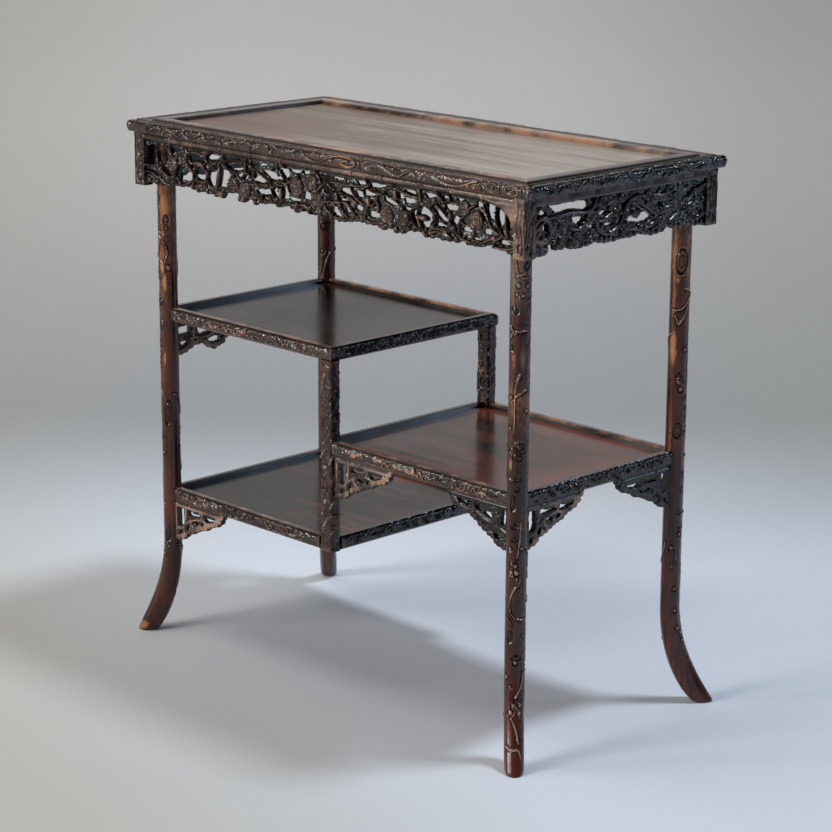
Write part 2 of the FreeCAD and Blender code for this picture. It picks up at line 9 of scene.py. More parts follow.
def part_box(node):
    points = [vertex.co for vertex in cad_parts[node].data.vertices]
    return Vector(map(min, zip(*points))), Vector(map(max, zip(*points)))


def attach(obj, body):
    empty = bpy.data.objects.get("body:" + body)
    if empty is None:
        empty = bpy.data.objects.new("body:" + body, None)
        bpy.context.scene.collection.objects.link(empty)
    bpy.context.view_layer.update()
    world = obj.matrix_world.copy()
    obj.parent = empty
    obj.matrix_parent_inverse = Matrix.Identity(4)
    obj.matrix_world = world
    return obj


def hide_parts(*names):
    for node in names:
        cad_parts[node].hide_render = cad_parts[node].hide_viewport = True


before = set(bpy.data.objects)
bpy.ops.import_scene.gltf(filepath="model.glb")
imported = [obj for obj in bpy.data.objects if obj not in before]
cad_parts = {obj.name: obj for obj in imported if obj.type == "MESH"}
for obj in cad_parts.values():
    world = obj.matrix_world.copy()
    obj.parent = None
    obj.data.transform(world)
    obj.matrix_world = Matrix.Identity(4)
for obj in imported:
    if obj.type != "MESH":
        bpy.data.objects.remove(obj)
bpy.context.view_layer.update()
print("frame loaded", len(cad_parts), "nodes")

mm = 0.001
body = "root"
smoothBelow = math.radians(40)


# finishes

def paint(red, green, blue):
    # a screen colour, 0 to 255, as the linear colour that the shader takes
    parts = [value / 255 for value in (red, green, blue)]
    return tuple(p / 12.92 if p <= 0.04045 else ((p + 0.055) / 1.055) ** 2.4 for p in parts) + (1.0,)


class Wire:
    # one output of a finish, so that sums on it are written out plainly
    def __init__(self, finish, socket):
        self.finish = finish
        self.socket = socket

    def sum(self, operation, first, second):
        return self.finish.node("ShaderNodeMath", {"operation": operation}, {0: first, 1: second})

    def __add__(self, other):
        return self.sum("ADD", self, other)

    def __radd__(self, other):
        return self.sum("ADD", other, self)

    def __sub__(self, other):
        return self.sum("SUBTRACT", self, other)

    def __rsub__(self, other):
        return self.sum("SUBTRACT", other, self)

    def __mul__(self, other):
        return self.sum("MULTIPLY", self, other)

    def __rmul__(self, other):
        return self.sum("MULTIPLY", other, self)


class Finish:
    # a material being put together
    def __init__(self, name):
        self.material = bpy.data.materials.new(name)
        self.material.use_nodes = True
        self.tree = self.material.node_tree
        self.tree.nodes.clear()
        self.output = self.tree.nodes.new("ShaderNodeOutputMaterial")

    def node(self, kind, settings=None, inputs=None, output=0):
        made = self.tree.nodes.new(kind)
        for key, value in (settings or {}).items():
            setattr(made, key, value)
        for key, value in (inputs or {}).items():
            if isinstance(value, Wire):
                self.tree.links.new(value.socket, made.inputs[key])
            else:
                made.inputs[key].default_value = value
        return Wire(self, made.outputs[output])

    def mix(self, first, second, mask):
        return self.node("ShaderNodeMix", {"data_type": "RGBA"}, {0: mask, 6: first, 7: second}, 2)

    def band(self, value, low, high):
        # 0 below low, 1 above high, smooth between
        return self.node("ShaderNodeMapRange", {"interpolation_type": "SMOOTHSTEP"},
                         {"Value": value, "From Min": low, "From Max": high})

    def noise(self, place, scale, detail=3.0, roughness=0.55):
        return self.node("ShaderNodeTexNoise", {},
                         {"Vector": place, "Scale": scale, "Detail": detail, "Roughness": roughness})

    def stretched(self, place, axis, factor):
        scale = [factor, factor, factor]
        scale["xyz".index(axis)] = 1.0
        return self.node("ShaderNodeMapping", {}, {"Vector": place, "Scale": scale})

    def close(self, **inputs):
        sockets = {key.replace("_", " "): value for key, value in inputs.items()}
        shader = self.node("ShaderNodeBsdfPrincipled", {}, sockets)
        self.tree.links.new(shader.socket, self.output.inputs["Surface"])
        return self.material

    def openBehind(self):
        # the back of a sheet lets the eye through, so that a view from behind it isn't blocked
        behind = self.node("ShaderNodeNewGeometry", output=6)
        clear = self.node("ShaderNodeBsdfTransparent")
        painted = Wire(self, self.output.inputs["Surface"].links[0].from_socket)
        both = self.node("ShaderNodeMixShader", {}, {0: behind, 1: painted, 2: clear})
        self.tree.links.new(both.socket, self.output.inputs["Surface"])


wood = {
    "deep": paint(13, 9, 9),
    "dark": paint(42, 29, 25),
    "red": paint(96, 48, 33),
    "ember": paint(38, 21, 18),
    "crimson": paint(100, 46, 31),
    "worn": paint(190, 124, 80),
    "dust": paint(158, 147, 136),
    "gold": paint(188, 130, 88),
}


def carvedWood(name, axis, redness, wearAndHighlight, dust, gloss, bark=38.0, bare=0.52, hollowShade=0.24, streak=0.45,
               base="dark", tint="red", sheen=0.3):
    # oiled hardwood, with painted shade in the hollows, and dust, wear and painted highlights where the
    # carving stands proud
    look = Finish(name)
    place = look.node("ShaderNodeTexCoord", output=3)
    along = look.stretched(place, axis, 8.0)
    grain = look.noise(along, 22.0, 4.0, 0.6)
    fibres = look.noise(along, 110.0, 3.0, 0.6)
    clouds = look.noise(place, 6.0, 2.0)
    patches = look.noise(place, bark, 3.0)
    crest = look.node("ShaderNodeAttribute", {"attribute_name": "crest"}, output=2)
    rubbed = look.node("ShaderNodeAttribute", {"attribute_name": "rubbed"}, output=2)
    tone = look.band(grain * 0.6 + clouds * 0.6, 0.42, 0.8)
    colour = look.mix(wood[base], wood[tint], tone * redness)
    gilt = look.band(rubbed + patches * 1.1 + fibres * 0.8 - 0.6, 0.66, 1.15)
    colour = look.mix(colour, wood["gold"], gilt)
    colour = look.mix(colour, wood["dust"], look.band(rubbed * -1.0, 0.0, 1.0) * 0.75)
    colour = look.mix(colour, wood["deep"], look.band(fibres, 0.52, 0.75) * streak)
    # painted shade: where the crest attribute is low, in the hollows and cuts, the colour fades to the deep
    # colour
    colour = look.mix(wood["deep"], colour, look.band(crest, hollowShade, hollowShade + 0.42))
    # the pale colour on the crests is part dust and part a painted highlight on the raised carving
    dusty = look.band(crest, bare, bare * 0.4 + 0.68)
    dusty = dusty * look.band(clouds * 0.6 + patches * 0.6, 0.5, 0.76) * dust
    colour = look.mix(colour, wood["dust"], dusty)
    # the worn colour on the highest crests is part real wear and part a painted highlight
    wearAndHighlightMask = look.band(crest, 0.62, 0.95) * look.band(patches * 0.7 + clouds * 0.5, 0.52, 0.74) * wearAndHighlight
    colour = look.mix(colour, wood["worn"], wearAndHighlightMask)
    rough = look.band(clouds + fibres * 0.5, 0.4, 1.1) * 0.2 + gloss
    height = grain * 0.3 + fibres * 0.25 + patches * 0.3
    bump = look.node("ShaderNodeBump", {},
                     {"Strength": 0.1 + streak * 0.6, "Distance": 0.0007, "Height": height})
    return look.close(Base_Color=colour, Roughness=rough, Normal=bump, Specular_IOR_Level=0.2 + sheen * 0.5,
                      Coat_Weight=sheen, Coat_Roughness=0.12)


def panelWood(name, pale, dark, gloss, coat, dusty=0.1, shine=0.38, spread=0.2):
    # a flat, polished board with its grain along the length of the table, painted paler towards +x as a
    # painted sheen
    look = Finish(name)
    place = look.node("ShaderNodeTexCoord", output=3)
    warp = look.noise(place, 4.0, 2.0)
    along = look.stretched(place, "x", 14.0)
    figure = look.noise(along, 3.2, 4.0, 0.6)
    fibres = look.noise(along, 46.0, 4.0, 0.65)
    clouds = look.noise(place, 3.4, 3.0, 0.6)
    right = look.node("ShaderNodeSeparateXYZ", {}, {"Vector": place}, 0)
    # painted sheen: the tone runs paler towards +x
    tone = look.band(figure * 0.8 + warp * 0.5 - right * 0.36, 0.6 - spread, 0.6 + spread)
    colour = look.mix(pale, dark, tone)
    colour = look.mix(colour, wood["deep"], look.band(fibres, 0.56, 0.78) * 0.32)
    colour = look.mix(colour, wood["dust"], look.band(clouds, 0.56, 0.78) * dusty)
    rough = look.band(clouds + fibres * 0.3, 0.4, 0.9) * 0.16 + gloss
    bump = look.node("ShaderNodeBump", {}, {"Strength": 0.12, "Distance": 0.0004, "Height": fibres})
    return look.close(Base_Color=colour, Roughness=rough, Normal=bump, Specular_IOR_Level=shine,
                      Coat_Weight=look.band(right, -0.4, 0.35) * coat, Coat_Roughness=0.12)


carvedLooks = {
    "carvedLong": dict(axis="x", redness=0.45, wearAndHighlight=0.45, dust=0.7, gloss=0.30),
    # painted shade: the short aprons are painted darker than the long ones, for the sides turned from the
    # light
    "carvedShortShaded": dict(axis="y", redness=0.2, wearAndHighlight=0.12, dust=0.15, gloss=0.14, hollowShade=0.36, sheen=0.4),
    "carvedSmall": dict(axis="x", redness=0.5, wearAndHighlight=0.4, dust=0.9, gloss=0.26, hollowShade=0.2),
    # the long rails are painted paler, as painted light, and the short rails darker, as painted shade
    "railLongLit": dict(axis="x", redness=0.8, wearAndHighlight=0.8, dust=0.85, gloss=0.24, hollowShade=0.2, sheen=0.5),
    "railShortShaded": dict(axis="y", redness=0.1, wearAndHighlight=0.08, dust=0.15, gloss=0.1, hollowShade=0.5, sheen=0.35),
    "legWood": dict(axis="z", redness=1.0, wearAndHighlight=0.45, dust=2.0, gloss=0.15, bark=26.0, bare=0.74,
                    hollowShade=0.14, streak=0.15, base="ember", tint="crimson"),
    "postWood": dict(axis="z", redness=0.9, wearAndHighlight=0.45, dust=0.7, gloss=0.22, hollowShade=0.26),
    "peg": dict(axis="z", redness=0.5, wearAndHighlight=0.1, dust=0.1, gloss=0.4),
}
panelLooks = {
    "topPanel": dict(pale=paint(174, 160, 149), dark=paint(116, 94, 80), gloss=0.30, coat=0.5, dusty=0.3),
    "shelfPanel": dict(pale=paint(122, 62, 44), dark=paint(20, 12, 10), gloss=0.12, coat=0.3, shine=0.33,
                       spread=0.1),
    "batten": dict(pale=paint(84, 62, 52), dark=paint(46, 32, 28), gloss=0.5, coat=0.0),
}
finishes = {name: carvedWood(name, **values) for name, values in carvedLooks.items()}
finishes.update({name: panelWood(name, **values) for name, values in panelLooks.items()})
print("finishes made")


# carving: a pattern is drawn on a flat map of points (u, v) in millimetres

scramble = {
    # large odd numbers that turn a corner of the grid into a value with no order in it
    "seed": 83492791,
    "axes": (73856093, 19349663, 50331653),
    "last": 1274126177,
}


def lattice(points, cell, seed):
    # smooth noise between -1 and 1, the same on every run
    scaled = points / cell
    corner = np.floor(scaled).astype(np.int64)
    part = scaled - corner
    part = part * part * (3 - 2 * part)
    total = np.zeros(len(points))
    for shift in itertools.product((0, 1), repeat=points.shape[1]):
        mixed = np.full(len(points), seed * scramble["seed"])
        for place, factor in zip((corner + shift).T, scramble["axes"]):
            mixed = mixed ^ (place * factor)
        mixed = (mixed ^ (mixed >> 13)) * scramble["last"]
        value = ((mixed ^ (mixed >> 16)) & 65535) / 65535
        total += value * np.prod(np.where(np.array(shift) == 1, part, 1 - part), axis=1)
    return total * 2 - 1


def lineDistance(points, line):
    # how far each point is from a line of straight runs
    best = np.full(len(points), 1e6)
    for start, end in zip(line[:-1], line[1:]):
        run = end - start
        share = np.clip(((points - start) @ run) / max(run @ run, 1e-9), 0, 1)
        best = np.minimum(best, np.hypot(*(points - start - share[:, None] * run).T))
    return best


def edgeDistance(points, corners):
    # positive outside the closed outline, negative inside it
    corners = np.asarray(corners, float)
    away = lineDistance(points, np.vstack([corners, corners[:1]]))
    within = np.zeros(len(points), bool)
    for (u0, v0), (u1, v1) in zip(corners, np.roll(corners, -1, axis=0)):
        if v0 != v1:
            crossing = (v0 > points[:, 1]) != (v1 > points[:, 1])
            within ^= crossing & (points[:, 0] < u0 + (points[:, 1] - v0) / (v1 - v0) * (u1 - u0))
    return np.where(within, -away, away)


def softened(places):
    # corners cut twice, so that a line through a few places bends as a stem does
    line = np.asarray(places, float)
    for _ in range(2):
        first, second = line[:-1], line[1:]
        cut = np.stack([first * 0.75 + second * 0.25, first * 0.25 + second * 0.75], axis=1)
        line = np.vstack([line[:1], cut.reshape(-1, 2), line[-1:]])
    return line


def curl(start, heading, length, bend, steps=8):
    # a line that turns tighter as it runs
    places = [np.array(start, float)]
    for step in range(steps):
        heading += bend / steps * (0.5 + step / steps)
        places.append(places[-1] + np.array([math.cos(heading), math.sin(heading)]) * length / steps)
    return np.array(places)


def smooth(value, low, high):
    # 0 at low, 1 at high, eased at both ends
    share = np.clip((value - low) / (high - low), 0, 1)
    return share * share * (3 - 2 * share)


class Carving:
    # for each point of a map: how far it lies inside the wood, and how high the wood stands there
    moatWidth = 1.3

    def __init__(self, points, inside=-20.0):
        self.points = points
        self.inside = np.full(len(points), inside)
        self.height = np.zeros(len(points))

    def around(self, places, reach):
        places = np.atleast_2d(places)
        low, high = places.min(axis=0) - reach, places.max(axis=0) + reach
        return np.flatnonzero(((self.points > low) & (self.points < high)).all(axis=1))

    def oval(self, centre, long, short, tilt, span):
        # the points near a centre, and how far out they are, measured on a tilted oval
        chosen = self.around([centre], span)
        offset = self.points[chosen] - centre
        along = offset[:, 0] * math.cos(tilt) + offset[:, 1] * math.sin(tilt)
        across = offset[:, 1] * math.cos(tilt) - offset[:, 0] * math.sin(tilt)
        return chosen, np.hypot(along / long, across / short)

    def depthAt(self, centre):
        return self.inside[np.argmin(np.abs(self.points - centre).sum(axis=1))]

    def raiseTo(self, chosen, inside, rise):
        self.inside[chosen] = np.maximum(self.inside[chosen], inside)
        self.height[chosen] = np.maximum(self.height[chosen], np.where(inside > 0, rise, 0))

    def raiseAll(self, inside, rise):
        self.raiseTo(slice(None), inside, rise)

    def stem(self, line, width, proud, foot=0.0, taper=0.0, moat=0.0):
        # moat: how far the wood on both sides is cut down, so that the stem stands clear
        chosen = self.around(line, width + 2)
        if len(chosen):
            away = lineDistance(self.points[chosen], line)
            wide = np.full(len(chosen), width / 2)
            if taper:
                reach = np.hypot(*(self.points[chosen] - line[0]).T) / np.hypot(*(line[-1] - line[0]))
                wide *= 1 - taper * np.clip(reach, 0, 1)
            beside = np.clip(away - wide, 0, None) / self.moatWidth
            self.height[chosen] *= 1 - moat * np.exp(-(beside ** 2))
            share = np.clip(away / wide, 0, 1)
            rise = foot + (proud - foot) * np.sqrt(1 - share ** 2)
            self.raiseTo(chosen, wide - away, rise)

    def bud(self, centre, radius, proud, long=1.0, tilt=0.0):
        # a bead, round or drawn out to a grain
        chosen, reach = self.oval(centre, long, 1.0, tilt, radius * max(long, 1))
        dome = np.sqrt(np.clip(1 - (reach / radius) ** 2, 0, 1))
        self.raiseTo(chosen, radius - reach, proud * dome ** 0.8)

    def blossom(self, centre, radius, proud, turn=0.0):
        # a flat open flower, seen as a disc of rings and fine flutes with a slightly lobed edge
        chosen = self.around([centre], radius)
        offset = self.points[chosen] - centre
        reach = np.hypot(*offset.T) / radius
        angle = np.arctan2(offset[:, 1], offset[:, 0]) + turn
        edge = 0.9 + 0.1 * np.abs(np.cos(2.5 * angle)) ** 0.6
        rings = np.cos(reach * 15 + 1.1 * np.cos(angle * 5))
        flutes = np.cos(angle * 15 + 2 * np.sin(reach * 8))
        heart = np.exp(-((reach / 0.16) ** 4))
        valley = np.exp(-((np.cos(2.5 * angle) / 0.22) ** 2)) * smooth(reach, 0.25, 0.6)
        body = np.clip((edge - reach) / 0.12, 0, 1)
        rise = proud * np.sqrt(body) * (0.64 + 0.12 * rings + 0.07 * flutes + 0.2 * heart - 0.1 * valley)
        self.height[chosen] *= 1 - 0.7 * smooth(1.0 - reach, 0, 0.1)
        self.raiseTo(chosen, (edge - reach) * radius, rise)

    def eye(self, centre, long, short, tilt, proud):
        # an oval knot in bark: rings round a raised middle, cut down between them
        chosen, reach = self.oval(centre, long, short, tilt, max(long, short) * 1.5)
        cover = np.exp(-((reach / 1.26) ** 8))
        rings = np.exp(-(((reach - 1) / 0.19) ** 2)) + 0.75 * np.exp(-(((reach - 0.5) / 0.13) ** 2))
        middle = 0.8 * np.exp(-((reach / 0.2) ** 2))
        self.height[chosen] = self.height[chosen] * (1 - cover) + proud * (rings + middle) * cover

    def knot(self, centre, long, short, tilt, deep):
        # an oval knot in smooth wood, cut as one ring round it and a fainter one inside
        chosen, reach = self.oval(centre, long, short, tilt, max(long, short) * 1.5)
        fine = 1.0 / short
        rings = np.exp(-(((reach - 1) / fine) ** 2)) + 0.55 * np.exp(-(((reach - 0.5) / fine) ** 2))
        swell = 0.3 * np.exp(-(((reach - 1 - 1.9 * fine) / fine) ** 2))
        self.height[chosen] += deep * (swell - rings)

    def plane(self, start, end, height, ripple, seed):
        # a stretch cleared flat, for what is carved on it next
        along = self.points[:, 0]
        held = smooth(along, start - 1.5, start + 1.5) * smooth(end - along, -1.5, 1.5)
        flat = height + ripple * lattice(self.points, 3.0, seed + 5)
        self.height[:] = self.height * (1 - held) + flat * held

    def ridge(self, line, width, proud):
        # a fine tendril that only stands on wood already there
        chosen = self.around(line, width + 2)
        if len(chosen):
            away = lineDistance(self.points[chosen], line) / (width / 2)
            there = self.inside[chosen] > 0.4
            rise = proud * np.sqrt(np.clip(1 - away ** 2, 0, 1))
            self.height[chosen] *= 1 - 0.6 * np.exp(-(np.clip(away - 1, 0, None) ** 2))
            self.height[chosen] = np.maximum(self.height[chosen], np.where(there & (away < 1), rise, 0))

    def groove(self, line, width, depth):
        # a cut along a line
        chosen = self.around(line, width * 2)
        if len(chosen):
            away = lineDistance(self.points[chosen], line)
            self.height[chosen] -= depth * np.exp(-((away / width) ** 2))


# pieces

def readAll(items, field, width=1, kind=float):
    # one value, or one row of values, for each point or face
    values = np.empty(len(items) * width, kind)
    items.foreach_get(field, values)
    return values.reshape(-1, width) if width > 1 else values


def gridPiece(name, columns, rows):
    # a flat sheet of faces, with the share along and across of each of its points
    bpy.ops.object.select_all(action="DESELECT")
    bpy.ops.mesh.primitive_grid_add(x_subdivisions=columns, y_subdivisions=rows, size=2)
    piece = bpy.context.object
    piece.name = name
    return piece, readAll(piece.data.vertices, "co", 3)[:, :2] / 2 + 0.5


def layOut(piece, places):
    piece.data.vertices.foreach_set("co", (np.asarray(places) * mm).ravel())
    piece.data.update()


def nameShare(piece, name, values):
    # a value for each point, which a finish reads by its name
    layer = piece.data.attributes.get(name) or piece.data.attributes.new(name, "FLOAT", "POINT")
    layer.data.foreach_set("value", np.asarray(values, float))


def pick(piece):
    bpy.ops.object.select_all(action="DESELECT")
    bpy.context.view_layer.objects.active = piece
    piece.select_set(True)


def editPiece(piece, byPoints=False):
    pick(piece)
    bpy.context.tool_settings.mesh_select_mode = (byPoints, False, not byPoints)
    bpy.ops.object.mode_set(mode="EDIT")


def closeEdit():
    bpy.ops.object.mode_set(mode="OBJECT")


def coatPiece(piece, finish):
    piece.data.materials.clear()
    piece.data.materials.append(finishes[finish])


def finishPiece(piece, finish, node):
    coatPiece(piece, finish)
    pick(piece)
    bpy.ops.object.shade_smooth_by_angle(angle=smoothBelow)
    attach(piece, body)
    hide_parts(node)


def copyOf(piece, name, matrix):
    pick(piece)
    bpy.ops.object.duplicate(linked=False)
    made = bpy.context.object
    made.name = name
    made.data.transform(matrix)
    return made


boards = {
    "snap": 0.62,  # a point this near the outline, as a share of a cell, is moved onto it
    "leastSlope": 0.2,
    "edgeHeight": 0.25,  # how much of the relief may stand on the outline itself
    # the back and the cut walls get a low crest, which paints them in shade
    "backCrest": 0.4,
    "leastCrest": 0.12,
    "far": 30.0,
    "margin": 9,
}


def boardPiece(name, extent, cell, relief, draw, frontOf, backOf):
    # a board carved from the front: what lies outside the wood is cut away, and the rest is then
    # pulled through to the back
    (u0, u1), (v0, v1) = extent
    columns = round((u1 - u0) / cell)
    rows = round((v1 - v0) / cell)
    piece, share = gridPiece(name, columns, rows)
    points = np.array([u0, v0]) + share * (u1 - u0, v1 - v0)
    carving = draw(points)
    field = carving.inside.reshape(rows + 1, columns + 1)
    steep = np.stack([np.gradient(field, (u1 - u0) / columns, axis=1).ravel(),
                      np.gradient(field, (v1 - v0) / rows, axis=0).ravel()], axis=1)
    onEdge = np.abs(carving.inside) < boards["snap"] * cell
    slope = np.maximum((steep ** 2).sum(axis=1), boards["leastSlope"])
    slide = steep * (carving.inside / slope)[:, None]
    points[onEdge] -= slide[onEdge]
    points = np.clip(points, (u0, v0), (u1, v1))
    inside = np.where(onEdge, 0.0, carving.inside)
    height = np.clip(carving.height, 0, relief)
    height = np.where(inside > 0, height, np.minimum(height, relief * boards["edgeHeight"]))
    layOut(piece, frontOf(points, height))
    nameShare(piece, "crest", height / relief)
    around = inside[readAll(piece.data.polygons, "vertices", 4, int)]
    kept = (around.min(axis=1) >= 0) & (around.max(axis=1) > 0)
    piece.data.polygons.foreach_set("select", ~kept)
    editPiece(piece)
    bpy.ops.mesh.delete(type="FACE")
    bpy.ops.mesh.select_all(action="SELECT")
    bpy.ops.mesh.extrude_region_move()
    closeEdit()
    pulled = readAll(piece.data.vertices, "select", kind=bool)
    places = readAll(piece.data.vertices, "co", 3) / mm
    places[pulled] = backOf(places[pulled])
    layOut(piece, places)
    crest = readAll(piece.data.attributes["crest"].data, "value")
    # painted shade: the back, and the walls of the openings towards it, get a low crest, so they come out
    # dark
    crest[pulled] = np.maximum(crest[pulled] * boards["backCrest"], boards["leastCrest"])
    nameShare(piece, "crest", crest)
    recalculate(piece)
    return piece


def recalculate(piece):
    editPiece(piece)
    bpy.ops.mesh.select_all(action="SELECT")
    bpy.ops.mesh.normals_make_consistent(inside=False)
    closeEdit()


def wrappedPiece(name, columns, rows, place):
    # a skin round a bar: the shares run along it and round it, and the ends are then filled
    piece, share = gridPiece(name, columns, rows)
    places, looks = place(share)
    layOut(piece, places)
    for look, values in looks.items():
        nameShare(piece, look, values)
    editPiece(piece, byPoints=True)
    bpy.ops.mesh.select_all(action="SELECT")
    bpy.ops.mesh.remove_doubles(threshold=1e-6)
    bpy.ops.mesh.select_all(action="DESELECT")
    bpy.ops.mesh.select_non_manifold()
    bpy.ops.mesh.fill_holes(sides=0)
    closeEdit()
    recalculate(piece)
    return piece


def standing(points, depth, setback, top):
    # a map of a face as places in the frame, for a board whose face looks to the front
    return np.stack([points[:, 0], depth - setback, top - points[:, 1]], axis=1)


def quarterTurn(turns):
    return Matrix.Rotation(math.pi / 2 * turns, 4, "Z")


# long aprons: prunus stems standing free of the board, below a knotted cane

